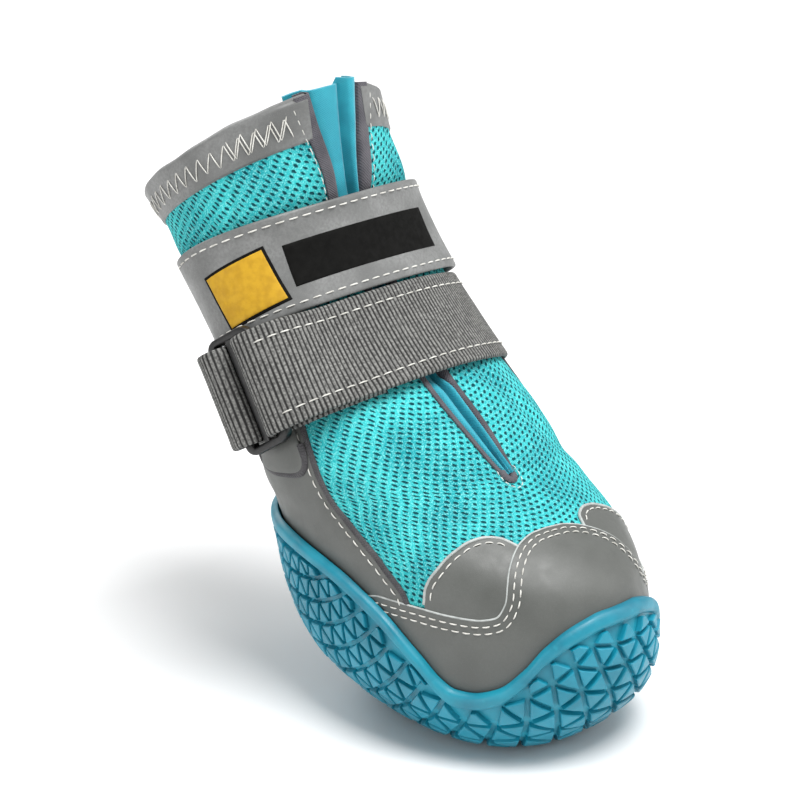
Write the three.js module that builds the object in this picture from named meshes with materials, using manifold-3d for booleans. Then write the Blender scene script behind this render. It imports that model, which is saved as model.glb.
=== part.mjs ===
// Dog boot: a moulded cup sole, a sewn mesh upper with a front slit, and two straps at the ankle.
// Millimetres. +Z is up, the toe points along -Y and the boot's own left is +X.
// The origin is on the tread, under the middle of the sole.
import * as THREE from "three";
import { mergeVertices } from "three/addons/utils/BufferGeometryUtils.js";
import Module from "manifold-3d";

const wasm = await Module();
wasm.setup();

// ---------------------------------------------------------------- driving dimensions

const GAP = 0.3; // clearance between touching pieces
const CLEAR = 0.45; // clearance between a piece and the curved upper under it
const UPPER_WALL = 2;
const AROUND = 60; // columns round the boot
const RISE = 22; // rings from the feather edge to the collar

// Outer surface of the upper. Each row is a ring through a heel point and a toe point of the side
// profile: fore is the distance towards the toe, up is the height, half is half the width, and side
// is the ring's offset to the boot's left (the soft shaft leans a little to the right). The squares
// are the superellipse exponents of the ring's heel half and toe half.
const SECTION_COLUMNS = ["heelFore", "heelUp", "toeFore", "toeUp", "half", "side", "heelSquare", "toeSquare"];
const SECTION_ROWS = [
  [-24.6, 9.6, 25.5, 7.0, 19.8, 0, 2.4, 2.4], // feather edge
  [-30.6, 14.2, 31.0, 12.0, 24.2, 0, 2.4, 2.2], // cup
  [-34.8, 19.6, 33.8, 18.5, 26.4, 0, 2.4, 1.95], // ball of the paw
  [-37.8, 25.6, 34.4, 25.0, 27.2, 0, 2.4, 1.88],
  [-39.2, 30.0, 32.6, 31.4, 27.4, 0, 2.4, 1.8], // toe box
  [-40.2, 34.2, 27.2, 37.0, 27.7, 0, 2.45, 1.8], // toe cap
  [-40.7, 37.6, 18.6, 41.2, 27.6, 0, 2.5, 1.87], // hump of the cap
  [-40.8, 40.4, 8.2, 46.2, 27.6, -0.1, 2.5, 2.0], // end of the slit
  [-40.6, 43.8, -1.4, 53.4, 27.5, -0.4, 2.4, 2.1], // instep
  [-40.4, 48.2, -11.2, 60.9, 26.9, -0.9, 2.3, 2.15],
  [-42.2, 54.4, -18.6, 68.2, 26.0, -1.6, 2.15, 2.15], // webbing strap
  [-46.2, 61.0, -24.6, 76.2, 25.0, -2.5, 2.1, 2.1],
  [-52.0, 67.2, -29.4, 84.4, 24.2, -3.1, 2.1, 2.1], // ankle strap
  [-58.8, 72.8, -32.2, 92.8, 23.5, -3.7, 2.1, 2.1],
  [-66.8, 78.6, -32.9, 102.4, 22.9, -4.5, 2.1, 2.1], // shaft
  [-75.0, 84.0, -33.6, 112.2, 22.2, -5.4, 2.1, 2.1], // collar
];
const SECTIONS = SECTION_ROWS.map((values, ring) =>
  Object.fromEntries([["ring", ring], ...SECTION_COLUMNS.map((name, i) => [name, values[i]])]),
);
const COLLAR = SECTIONS.length - 1;

// Height of the sole's rim by the angle from the toe: a bumper at the toe, a dip at the ball of the
// paw, and a high cup round the heel. Both sides are alike.
const RIM = [
  { angle: 0, up: 30.0 },
  { angle: 8, up: 29.8 },
  { angle: 15, up: 28.9 },
  { angle: 22, up: 27.5 },
  { angle: 30, up: 24.8 },
  { angle: 37, up: 20.6 },
  { angle: 46, up: 16.6 },
  { angle: 55, up: 15.3 },
  { angle: 60, up: 15.5 },
  { angle: 65, up: 17.2 },
  { angle: 71, up: 21.2 },
  { angle: 82, up: 27.6 },
  { angle: 88, up: 30.0 },
  { angle: 95, up: 32.2 },
  { angle: 105, up: 34.0 },
  { angle: 120, up: 35.3 },
  { angle: 150, up: 35.6 },
  { angle: 180, up: 35.2 },
];

const SOLE = {
  wallLow: 3.2, // rubber thickness at the feather edge
  wallRim: 1.7, // and at the rim
  floorUp: 5.0, // inside floor
  treadDepth: 1.0, // height of the tread pads
  flatFore: 19.5, // half length and half width of the flat of the tread
  flatSide: 14.0,
  wallRows: 9,
};

const TREAD = {
  pitch: 5.8, // distance between grooves, square to them
  groove: 1.3,
  reachFore: 18.5, // pads with their middle inside this oval stand on the floor
  reachSide: 14,
};

// Half width of the front slit by ring number, from its lower end to the collar.
const SLIT = [
  { ring: 7.05, half: 0.9 },
  { ring: 7.6, half: 1.7 },
  { ring: 8.6, half: 2.4 },
  { ring: 12.0, half: 2.6 },
  { ring: 15.0, half: 6.6 },
];

const TONGUE = { thick: 1.0, lap: 4.5, low: 7.3, proud: 0.8, foldUp: 1.6, foldClear: 0.6 };
const INSOLE = { halfFore: 22, halfSide: 16.8, thick: 2, square: 2.4 };

// Straps lie on the upper along a line that crosses the front and the heel at these ring numbers.
const ANKLE = { front: 12.0, heel: 12.3, width: 18.2, thick: 0.9, tail: -118, lap: 45 };
const WEBBING = { front: 10.0, heel: 9.9, width: 18.8, thick: 1.1 };
const ACROSS = [-0.5, -0.17, 0.17, 0.5]; // columns of a strap as shares of its width

const RING = {
  angle: -84,
  long: 22.6,
  wide: 11.6,
  bar: 2.4,
  end: 1.5,
  middle: 1.6,
  thick: 2,
  lift: 0.2,
  clear: 0.6,
};

// ---------------------------------------------------------------- smooth tables

/** Value of one column of a table at a key, on a smooth curve that never overshoots the rows. */
function smooth(table, key, column, at) {
  const last = table.length - 1;
  let i = 0;
  while (i < last - 1 && table[i + 1][key] < at) i += 1;
  const slope = (k) => {
    if (k <= 0 || k >= last) {
      const near = k <= 0 ? 0 : last - 1;
      return (table[near + 1][column] - table[near][column]) / (table[near + 1][key] - table[near][key]);
    }
    const before = (table[k][column] - table[k - 1][column]) / (table[k][key] - table[k - 1][key]);
    const after = (table[k + 1][column] - table[k][column]) / (table[k + 1][key] - table[k][key]);
    return before * after <= 0 ? 0 : (2 * before * after) / (before + after);
  };
  const span = table[i + 1][key] - table[i][key];
  const t = THREE.MathUtils.clamp((at - table[i][key]) / span, 0, 1);
  const rise = table[i + 1][column] - table[i][column];
  const a = slope(i) * span - rise;
  const b = rise - slope(i + 1) * span;
  return table[i][column] + t * rise + t * (1 - t) * ((1 - t) * a + t * b);
}

const row = (column, ring) => smooth(SECTIONS, "ring", column, ring);
const rimUp = (angle) => {
  const turn = Math.abs(THREE.MathUtils.euclideanModulo(angle + 180, 360) - 180);
  return smooth(RIM, "angle", "up", turn);
};
const slitHalf = (ring) => smooth(SLIT, "ring", "half", ring);

// ---------------------------------------------------------------- the last's surface

/** Point of the upper's outer surface at a ring number and an angle in degrees from the toe. */
function skin(ring, angle) {
  const turn = THREE.MathUtils.degToRad(angle);
  const n = row(Math.cos(turn) < 0 ? "heelSquare" : "toeSquare", ring);
  const reach = (Math.abs(Math.cos(turn)) ** n + Math.abs(Math.sin(turn)) ** n) ** (-1 / n);
  const along = (1 + reach * Math.cos(turn)) / 2;
  const fore = THREE.MathUtils.lerp(row("heelFore", ring), row("toeFore", ring), along);
  const up = THREE.MathUtils.lerp(row("heelUp", ring), row("toeUp", ring), along);
  const across = row("side", ring) + row("half", ring) * reach * Math.sin(turn);
  return new THREE.Vector3(across, -fore, up);
}

/** Outward normal of the upper's surface, from a small step each way. */
function outward(ring, angle) {
  const step = 0.02;
  const low = Math.max(ring - step, 0);
  const high = Math.min(ring + step, COLLAR);
  const up = skin(high, angle).sub(skin(low, angle));
  const round = skin(ring, angle + 1).sub(skin(ring, angle - 1));
  return round.cross(up).normalize();
}

/** Point at a height over the upper's surface; a negative height is inside it. */
function over(ring, angle, height) {
  return skin(ring, angle).addScaledVector(outward(ring, angle), height);
}

/** Ring number at which the surface reaches a height above the floor. */
function ringAtUp(up, angle) {
  let low = 0;
  let high = COLLAR;
  for (let i = 0; i < 30; i += 1) {
    const middle = (low + high) / 2;
    if (skin(middle, angle).z < up) low = middle;
    else high = middle;
  }
  return (low + high) / 2;
}

/** Ring number reached by going a distance up the surface from a ring, at one angle. */
function climb(ring, angle, distance) {
  const steps = 12;
  let at = ring;
  for (let i = 0; i < steps; i += 1) {
    const room = at > COLLAR - 0.1 ? -0.05 : 0.05;
    const perRing = skin(at + room, angle).distanceTo(skin(at, angle)) / Math.abs(room);
    at += distance / steps / perRing;
  }
  return at;
}

/** Angle from the toe of a point a sideways distance from the middle line. */
function sideAngle(ring, side) {
  return THREE.MathUtils.radToDeg(Math.asin(side / row("half", ring)));
}

// ---------------------------------------------------------------- closed meshes

const rangeOf = (count) => Array.from({ length: count }, (_, i) => i);
const angles = rangeOf(AROUND).map((i) => (360 * i) / AROUND);

/** Solid of a list of triangles, each three points, turned the right way out. */
function solid(triangles) {
  const geometry = new THREE.BufferGeometry().setFromPoints(triangles.flat());
  const merged = mergeVertices(geometry, 1e-4);
  const corners = merged.index.array;
  const kept = [];
  for (let i = 0; i < corners.length; i += 3) {
    const [a, b, c] = corners.slice(i, i + 3);
    if (a !== b && b !== c && c !== a) kept.push(a, b, c);
  }
  const make = (triVerts) =>
    new wasm.Manifold(
      new wasm.Mesh({
        numProp: 3,
        vertProperties: merged.attributes.position.array,
        triVerts: new Uint32Array(triVerts),
      }),
    );
  const body = make(kept);
  return body.volume() < 0 ? make(kept.reverse()) : body;
}

/** Two triangles across a four-sided face. */
const quad = (a, b, c, d) => [
  [a, b, c],
  [a, c, d],
];

/** Body whose rings follow each other; a ring of one point is a pole, and a loop joins up again. */
function ringsSolid(rings, loop = false) {
  const pairs = rings.length - (loop ? 0 : 1);
  const triangles = [];
  for (let i = 0; i < pairs; i += 1) {
    const below = rings[i];
    const above = rings[(i + 1) % rings.length];
    const count = Math.max(below.length, above.length);
    for (let j = 0; j < count; j += 1) {
      const corner = (ring, k) => ring[ring.length === 1 ? 0 : k % count];
      triangles.push(
        ...quad(corner(below, j), corner(below, j + 1), corner(above, j + 1), corner(above, j)),
      );
    }
  }
  return solid(triangles);
}

/** Slab between two matching grids of points, with walls round its edge. */
function slab(top, bottom) {
  const high = top.length - 1;
  const wide = top[0].length - 1;
  const triangles = [];
  for (let i = 0; i < high; i += 1) {
    for (let j = 0; j < wide; j += 1) {
      triangles.push(...quad(top[i][j], top[i][j + 1], top[i + 1][j + 1], top[i + 1][j]));
      triangles.push(...quad(bottom[i][j], bottom[i + 1][j], bottom[i + 1][j + 1], bottom[i][j + 1]));
    }
    triangles.push(...quad(top[i][0], top[i + 1][0], bottom[i + 1][0], bottom[i][0]));
    triangles.push(...quad(top[i][wide], bottom[i][wide], bottom[i + 1][wide], top[i + 1][wide]));
  }
  for (let j = 0; j < wide; j += 1) {
    triangles.push(...quad(top[0][j], bottom[0][j], bottom[0][j + 1], top[0][j + 1]));
    triangles.push(...quad(top[high][j], top[high][j + 1], bottom[high][j + 1], bottom[high][j]));
  }
  return solid(triangles);
}

/** three.js geometry of a manifold solid. */
function geometryOf(body) {
  const mesh = body.getMesh();
  const points = new Float32Array(mesh.numVert * 3);
  for (let i = 0; i < mesh.numVert; i += 1) {
    points.set(mesh.vertProperties.subarray(i * mesh.numProp, i * mesh.numProp + 3), i * 3);
  }
  const geometry = new THREE.BufferGeometry();
  geometry.setAttribute("position", new THREE.BufferAttribute(points, 3));
  geometry.setIndex(new THREE.BufferAttribute(new Uint32Array(mesh.triVerts), 1));
  return geometry;
}

/** Manifold solid of a closed three.js geometry, such as an extrusion. */
function bodyOf(geometry) {
  const points = geometry.index ? geometry.toNonIndexed() : geometry;
  const position = points.getAttribute("position");
  const corner = (i) => new THREE.Vector3().fromBufferAttribute(position, i);
  return solid(rangeOf(position.count / 3).map((i) => [corner(3 * i), corner(3 * i + 1), corner(3 * i + 2)]));
}

// ---------------------------------------------------------------- sole

/** Point of an oval in a level plane. */
function oval(halfFore, halfSide, square, angle, up) {
  const turn = THREE.MathUtils.degToRad(angle);
  const reach = (Math.abs(Math.cos(turn)) ** square + Math.abs(Math.sin(turn)) ** square) ** (-1 / square);
  return new THREE.Vector3(halfSide * reach * Math.sin(turn), -halfFore * reach * Math.cos(turn), up);
}

/** Cup: flat tread, rounded bowl, wall up to the wavy rim, and down inside to the floor. */
function cup() {
  const square = SECTIONS[0].toeSquare;
  const middle = (up) => [new THREE.Vector3(0, 0, up)];
  const flat = (scale, up) =>
    angles.map((angle) => oval(SOLE.flatFore * scale, SOLE.flatSide * scale, square, angle, up));
  const wall = (share, height) =>
    angles.map((angle) => {
      const top = ringAtUp(rimUp(angle), angle);
      return over(top * share, angle, CLEAR + height);
    });
  const foot = wall(0, SOLE.wallLow);
  const next = wall(0.04, SOLE.wallLow);
  const edge = flat(1, SOLE.treadDepth);
  // The bowl leaves the flat level and meets the wall along its slope: a curve through one control
  // point, where the wall's slope carried down from its foot reaches the level of the flat.
  const bowl = (t) =>
    edge.map((point, i) => {
      const slope = foot[i].clone().sub(next[i]);
      const control = foot[i].clone().addScaledVector(slope, (foot[i].z - point.z) / -slope.z);
      const low = point.clone().multiplyScalar((1 - t) ** 2);
      return low.addScaledVector(control, 2 * t * (1 - t)).addScaledVector(foot[i], t * t);
    });
  const shares = rangeOf(SOLE.wallRows + 1).map((i) => i / SOLE.wallRows);
  const thickness = (share) => THREE.MathUtils.lerp(SOLE.wallLow, SOLE.wallRim, share ** 0.7);
  return ringsSolid([
    middle(SOLE.treadDepth),
    flat(0.5, SOLE.treadDepth),
    edge,
    bowl(0.35),
    bowl(0.7),
    ...shares.map((share) => wall(share, thickness(share))),
    ...shares.toReversed().map((share) => wall(share, 0)),
    angles.map((angle) => oval(INSOLE.halfFore + 1, INSOLE.halfSide + 1, square, angle, SOLE.floorUp)),
    middle(SOLE.floorUp),
  ]);
}

/** Triangular tread pads under the flat of the sole, between grooves in three directions. */
function treadPads() {
  const side = (TREAD.pitch * 2) / Math.sqrt(3);
  const inset = 1 - (TREAD.groove * 1.5) / TREAD.pitch;
  const columns = Math.ceil(TREAD.reachFore / TREAD.pitch) + 1;
  const rows = Math.ceil((2 * TREAD.reachSide) / side) + 2;
  const pads = [];
  for (let i = -columns; i < columns; i += 1) {
    for (let j = -rows; j < rows; j += 1) {
      const points = j % 2 === 0 ? 1 : -1;
      const middleFore = (i + (1 - points) / 6) * TREAD.pitch;
      const middleSide = ((j + (i % 2 === 0 ? 0 : 1)) * side) / 2;
      const inside = Math.hypot(middleFore / TREAD.reachFore, middleSide / TREAD.reachSide) < 1;
      if (!inside) continue;
      const corner = (turn) => [
        middleSide + (Math.sin(turn) * inset * side) / Math.sqrt(3),
        -middleFore - (points * Math.cos(turn) * inset * side) / Math.sqrt(3),
      ];
      const corners = [0, 1, 2].map((k) => new THREE.Vector2(...corner((k * 2 * Math.PI) / 3)));
      const shape = new THREE.Shape(corners);
      const depth = { depth: SOLE.treadDepth + 1, bevelEnabled: false };
      pads.push(bodyOf(new THREE.ExtrudeGeometry(shape, depth)));
    }
  }
  return pads;
}

function outsole() {
  return treadPads().reduce((body, pad) => body.add(pad), cup());
}

function insole() {
  const ring = (scale, up) =>
    angles
      .filter((_, i) => i % 2 === 0)
      .map((angle) => oval(INSOLE.halfFore * scale, INSOLE.halfSide * scale, INSOLE.square, angle, up));
  const low = SOLE.floorUp + GAP;
  const high = low + INSOLE.thick;
  return ringsSolid([
    [new THREE.Vector3(0, 0, low)],
    ring(0.98, low),
    ring(1, low + 0.5),
    ring(1, high - 0.4),
    ring(0.98, high),
    [new THREE.Vector3(0, 0, high)],
  ]);
}

// ---------------------------------------------------------------- upper and tongue

/** Shell from the feather edge to the collar, open at both, with the slit cut down its front. */
function upper() {
  const steps = rangeOf(RISE + 1).map((i) => (COLLAR * i) / RISE);
  const ring = (at, height) => angles.map((angle) => over(at, angle, height));
  const shell = ringsSolid(
    [...steps.map((at) => ring(at, 0)), ...steps.toReversed().map((at) => ring(at, -UPPER_WALL))],
    true,
  );
  return shell.subtract(slitCutter());
}

/** Wedge through the wall along the slit, widest at the collar. */
function slitCutter() {
  const low = SLIT[0].ring;
  const count = 20;
  const grid = (height) =>
    rangeOf(count + 1).map((i) => {
      const at = THREE.MathUtils.lerp(low, COLLAR, i / count);
      return [-1, 0, 1].map((side) => {
        const point = over(at, sideAngle(at, side * slitHalf(at)), height);
        if (i === count) point.addScaledVector(collarUp(), 3);
        return point;
      });
    });
  return slab(grid(UPPER_WALL), grid(-2 * UPPER_WALL));
}

/** Direction that the front of the shaft runs in where it meets the collar. */
function collarUp() {
  return skin(COLLAR, 0).sub(skin(COLLAR - 0.2, 0)).normalize();
}

/** Gusset behind the slit: it laps under both edges, and a fold stands in the gap. */
function tongue() {
  const count = 16;
  const base = -UPPER_WALL - CLEAR - TONGUE.thick;
  const grid = (lift) =>
    rangeOf(count + 1).map((i) => {
      const at = THREE.MathUtils.lerp(TONGUE.low, COLLAR, i / count);
      const reach = slitHalf(at) + TONGUE.lap;
      const foot = Math.max(slitHalf(at) - TONGUE.foldClear, 0.4);
      return [-reach, -(reach + foot) / 2, -foot, 0, foot, (reach + foot) / 2, reach].map((side) => {
        const fold = side === 0 ? TONGUE.foldUp : 0;
        const point = over(at, sideAngle(at, side), base + fold + lift);
        if (i === count) point.addScaledVector(collarUp(), TONGUE.proud);
        return point;
      });
    });
  return slab(grid(TONGUE.thick), grid(0));
}

// ---------------------------------------------------------------- straps

/** Ring number of a strap's middle line at an angle. */
function strapRing(strap, angle) {
  const front = (1 + Math.cos(THREE.MathUtils.degToRad(angle))) / 2;
  return THREE.MathUtils.lerp(strap.heel, strap.front, front);
}

/** Point on a strap: an angle, a distance across its width, and a height over the upper. */
function onStrap(strap, angle, across, height) {
  const at = climb(strapRing(strap, angle), angle, across);
  return over(at, angle, height);
}

/** Direction across the webbing where the strap ring lies. */
const ringAcross = onStrap(WEBBING, RING.angle, 2, 0).sub(onStrap(WEBBING, RING.angle, -2, 0)).normalize();

/** Degrees that a strap turns in one millimetre along its line, at an angle and a height. */
function degreesPerMm(strap, angle, height) {
  const ahead = onStrap(strap, angle + 1, 0, height);
  return 2 / ahead.distanceTo(onStrap(strap, angle - 1, 0, height));
}

/** Tape laid along a path of { angle, height, flat } points, with its thickness square to the path. */
function tape(strap, path) {
  const face = (side) =>
    path.map((point, i) => {
      const before = path[Math.max(i - 1, 0)];
      const after = path[Math.min(i + 1, path.length - 1)];
      const perMm = degreesPerMm(strap, point.angle, point.height);
      const run = new THREE.Vector2((after.angle - before.angle) / perMm, after.height - before.height);
      run.normalize().multiplyScalar((side * strap.thick) / 2);
      const angle = point.angle - run.y * perMm;
      const height = point.height + run.x;
      const middle = onStrap(strap, angle, 0, height);
      return ACROSS.map((share) => {
        const across = share * strap.width;
        const straight = middle.clone().addScaledVector(ringAcross, across);
        return onStrap(strap, angle, across, height).lerp(straight, point.flat ?? 0);
      });
    });
  return slab(face(1), face(-1));
}

/** Height of a strap's middle over the upper when it lies on this many layers of itself. */
const layer = (strap, below) => CLEAR + strap.thick / 2 + below * (strap.thick + GAP);

/** Reflective strap: once round the ankle, its free end lapped over its start. */
function ankleStrap() {
  const count = 52;
  const path = rangeOf(count + 1).map((i) => {
    const share = i / count;
    const settle = THREE.MathUtils.smoothstep(share, 0.35, 0.8);
    const height = THREE.MathUtils.lerp(layer(ANKLE, 1), layer(ANKLE, 0), settle);
    return { angle: ANKLE.tail + (360 + ANKLE.lap) * share, height };
  });
  return tape(ANKLE, path);
}

const RING_UP = layer(ANKLE, 2) - ANKLE.thick / 2 + RING.lift + RING.thick / 2; // height of the ring's middle
const FOLD = Math.hypot(RING.bar, RING.thick) / 2 + RING.clear + WEBBING.thick / 2; // radius of a fold

/** Rise of the flat ring, where it passes an angle, over the curve that the strap follows. */
function ringRise(angle) {
  const centre = onStrap(WEBBING, RING.angle, 0, RING_UP);
  const out = onStrap(WEBBING, RING.angle, 0, RING_UP + 1).sub(centre);
  return centre.sub(onStrap(WEBBING, angle, 0, RING_UP)).dot(out);
}

/** Half turn of webbing round a bar of the strap ring, from outside it to inside it. */
function foldAt(angle, perMm, away) {
  const middle = RING_UP + ringRise(angle);
  return rangeOf(7).map((i) => {
    const turn = (Math.PI * i) / 6;
    return {
      angle: angle + away * Math.sin(turn) * FOLD * perMm,
      height: middle + Math.cos(turn) * FOLD,
      flat: 1,
    };
  });
}

/** Webbing from the back seam round the left side and the instep, through the ring and back. */
function webbingStrap() {
  const perMm = degreesPerMm(WEBBING, RING.angle, RING_UP);
  const bar = RING.angle + ((RING.wide - RING.bar) / 2) * perMm;
  const fold = foldAt(bar, perMm, -1);
  const count = 40;
  const outer = rangeOf(count).map((i) => {
    const angle = THREE.MathUtils.lerp(178, bar + 2, i / (count - 1));
    const risen = 1 - THREE.MathUtils.smoothstep(angle, bar, bar + 40);
    const doubled = 1 - THREE.MathUtils.smoothstep(angle, 0, 50);
    const resting = layer(WEBBING, doubled);
    return { angle, height: THREE.MathUtils.lerp(resting, fold[0].height, risen), flat: risen };
  });
  return tape(WEBBING, [...outer, ...fold, ...turnedUnder(fold, bar, 1)]);
}

/** End of a strap that has gone round a bar and lies down on the upper, away from the ring. */
function turnedUnder(fold, bar, away) {
  return [8, 17, 26, 36, 46].map((turn, i) => {
    const settle = Math.min(i / 2, 1);
    const height = THREE.MathUtils.lerp(fold.at(-1).height, layer(WEBBING, 0), settle);
    return { angle: bar + away * turn, height, flat: 1 - settle };
  });
}

/** Short webbing loop that holds the ring, sewn down behind it. */
function ringLoop() {
  const perMm = degreesPerMm(WEBBING, RING.angle, RING_UP);
  const bar = RING.angle - ((RING.wide - RING.bar) / 2) * perMm;
  const fold = foldAt(bar, perMm, 1);
  const outer = [50, 40, 30, 20, 11, 4].map((turn) => {
    const risen = 1 - THREE.MathUtils.smoothstep(turn, 0, 34);
    const height = THREE.MathUtils.lerp(layer(WEBBING, 1), fold[0].height, risen);
    return { angle: bar - turn, height, flat: risen };
  });
  return tape({ ...WEBBING, width: WEBBING.width - 0.6 }, [...outer, ...fold, ...turnedUnder(fold, bar, -1)]);
}

/** Rectangular slide with rounded corners: two outer bars and a middle bar across the strap. */
function strapRingBody() {
  const frame = (middle, long, wide, corner) => {
    const x = wide / 2 - corner;
    const y = long / 2 - corner;
    const path = new THREE.Path();
    path.absarc(middle + x, y, corner, 0, Math.PI / 2);
    path.absarc(middle - x, y, corner, Math.PI / 2, Math.PI);
    path.absarc(middle - x, -y, corner, Math.PI, 1.5 * Math.PI);
    path.absarc(middle + x, -y, corner, 1.5 * Math.PI, 2 * Math.PI);
    return path;
  };
  const shape = new THREE.Shape(frame(0, RING.long, RING.wide, 2.2).getPoints(4));
  const window = (RING.wide - RING.middle) / 2 - RING.bar;
  for (const side of [-1, 1]) {
    const middle = (side * (RING.middle + window)) / 2;
    shape.holes.push(frame(middle, RING.long - 2 * RING.end, window, 0.6));
  }
  const depth = { depth: RING.thick, bevelEnabled: false, curveSegments: 3 };
  const geometry = new THREE.ExtrudeGeometry(shape, depth);
  const low = RING_UP - RING.thick / 2;
  const centre = onStrap(WEBBING, RING.angle, 0, low);
  const out = onStrap(WEBBING, RING.angle, 0, low + 1).sub(centre).normalize();
  const along = ringAcross.clone().cross(out).normalize();
  const square = along.clone().cross(ringAcross).normalize();
  geometry.applyMatrix4(new THREE.Matrix4().makeBasis(along, ringAcross, square).setPosition(centre));
  return bodyOf(geometry);
}

// ---------------------------------------------------------------- assembly

const NODES = [
  { name: "outsole", body: outsole, colour: 0x1fa3b8, roughness: 0.55 },
  { name: "insole", body: insole, colour: 0x3a3d42, roughness: 0.95 },
  { name: "upper", body: upper, colour: 0x3cc4c4, roughness: 0.9 },
  { name: "tongue", body: tongue, colour: 0x2cb8d8, roughness: 0.8 },
  { name: "ankle_strap", body: ankleStrap, colour: 0x7c7a78, roughness: 0.6 },
  { name: "webbing_strap", body: webbingStrap, colour: 0x75736f, roughness: 0.85 },
  { name: "ring_loop", body: ringLoop, colour: 0x6a6865, roughness: 0.85 },
  { name: "strap_ring", body: strapRingBody, colour: 0x141414, roughness: 0.4 },
];

const group = new THREE.Group();
for (const { name, body, colour, roughness } of NODES) {
  const material = new THREE.MeshStandardMaterial({ color: colour, roughness, metalness: 0 });
  const mesh = new THREE.Mesh(geometryOf(body()), material);
  mesh.name = name;
  group.add(mesh);
}

export default group;
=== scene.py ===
"""Dog boot: a moulded cup sole, a mesh upper with a slit down its front, and two straps at the ankle.

Lengths are millimetres until a mesh is made, and the frame is the CAD's: +Z up, toe along -Y, the
boot's own left +X. An angle is in degrees from the toe, positive towards the boot's own left.
"""
import functools
import logging
import math
from dataclasses import dataclass, replace
from enum import Enum
from typing import Callable, Optional, Sequence

import bmesh
import bpy
import numpy as np
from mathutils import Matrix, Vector


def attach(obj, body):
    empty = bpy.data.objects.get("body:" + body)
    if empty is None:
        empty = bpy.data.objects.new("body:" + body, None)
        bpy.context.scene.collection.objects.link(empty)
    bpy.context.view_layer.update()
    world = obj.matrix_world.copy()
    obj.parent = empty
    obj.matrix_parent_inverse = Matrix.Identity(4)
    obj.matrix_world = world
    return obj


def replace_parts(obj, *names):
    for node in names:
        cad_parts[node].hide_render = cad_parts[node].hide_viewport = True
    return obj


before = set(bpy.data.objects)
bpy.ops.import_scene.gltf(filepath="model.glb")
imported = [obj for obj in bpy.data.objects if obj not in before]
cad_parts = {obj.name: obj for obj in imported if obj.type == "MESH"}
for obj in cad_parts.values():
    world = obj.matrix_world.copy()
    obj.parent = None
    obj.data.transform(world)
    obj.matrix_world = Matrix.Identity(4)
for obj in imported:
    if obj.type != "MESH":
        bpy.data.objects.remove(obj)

Array = np.ndarray
Number = Array | float
Pair = tuple[Array, Array]
Rows = tuple[tuple[float, float], ...]
Relief = Callable[[Array, Array], Array]
Socket = bpy.types.NodeSocket
Material = bpy.types.Material
MM = 0.001
LOG = logging.getLogger("dog_boot")


# Smooth tables and the last


@dataclass(frozen=True)
class Curve:
    """Values at rising keys, joined by a cubic that never overshoots its rows.

    Between two rows: start + t rise + t (1 - t) ((1 - t) a + t b), where a and b come from the
    harmonic mean of the slopes on both sides of each row.
    """

    rows: Rows

    def at(self, key: Number) -> Array:
        """Value of the curve.

        Args:
            key: Where to read it; past the ends it holds the last value.

        Returns:
            One value for each key.
        """
        keys, values = np.array(self.rows, float).T
        spot = np.asarray(key, float)
        i = np.clip(np.searchsorted(keys, spot, side="left") - 1, 0, len(keys) - 2)
        steps = np.diff(values) / np.diff(keys)
        slopes = np.concatenate([steps[:1], np.zeros(len(keys) - 2), steps[-1:]])
        product = steps[:-1] * steps[1:]
        total = np.where(product > 0, steps[:-1] + steps[1:], 1.0)
        slopes[1:-1] = np.where(product > 0, 2 * product / total, 0.0)
        span = keys[i + 1] - keys[i]
        t = np.clip((spot - keys[i]) / span, 0, 1)
        rise = values[i + 1] - values[i]
        a = slopes[i] * span - rise
        b = rise - slopes[i + 1] * span
        return values[i] + t * rise + t * (1 - t) * ((1 - t) * a + t * b)


def unit(vectors: Array) -> Array:
    """Vectors at length one."""
    return vectors / np.linalg.norm(vectors, axis=-1, keepdims=True)


def matched(*values: Number) -> list[Array]:
    """Numbers and arrays as arrays of one shape."""
    return [np.array(value, float) for value in np.broadcast_arrays(*values)]


def lerp(a: Number, b: Number, t: Number) -> Array:
    """Straight blend from a to b."""
    return a + (b - a) * t


def ease(low: float, high: float, at: Number) -> Array:
    """Smooth step from 0 at low to 1 at high: 3 t squared minus 2 t cubed."""
    t = np.clip((np.asarray(at, float) - low) / (high - low), 0, 1)
    return t * t * (3 - 2 * t)


@dataclass(frozen=True)
class Crease:
    """Soft fold of the cloth: a trough between two low ridges, or a ridge where its depth is negative."""

    ring: float
    angle: float
    length: float
    width: float
    depth: float
    turn: float


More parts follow.
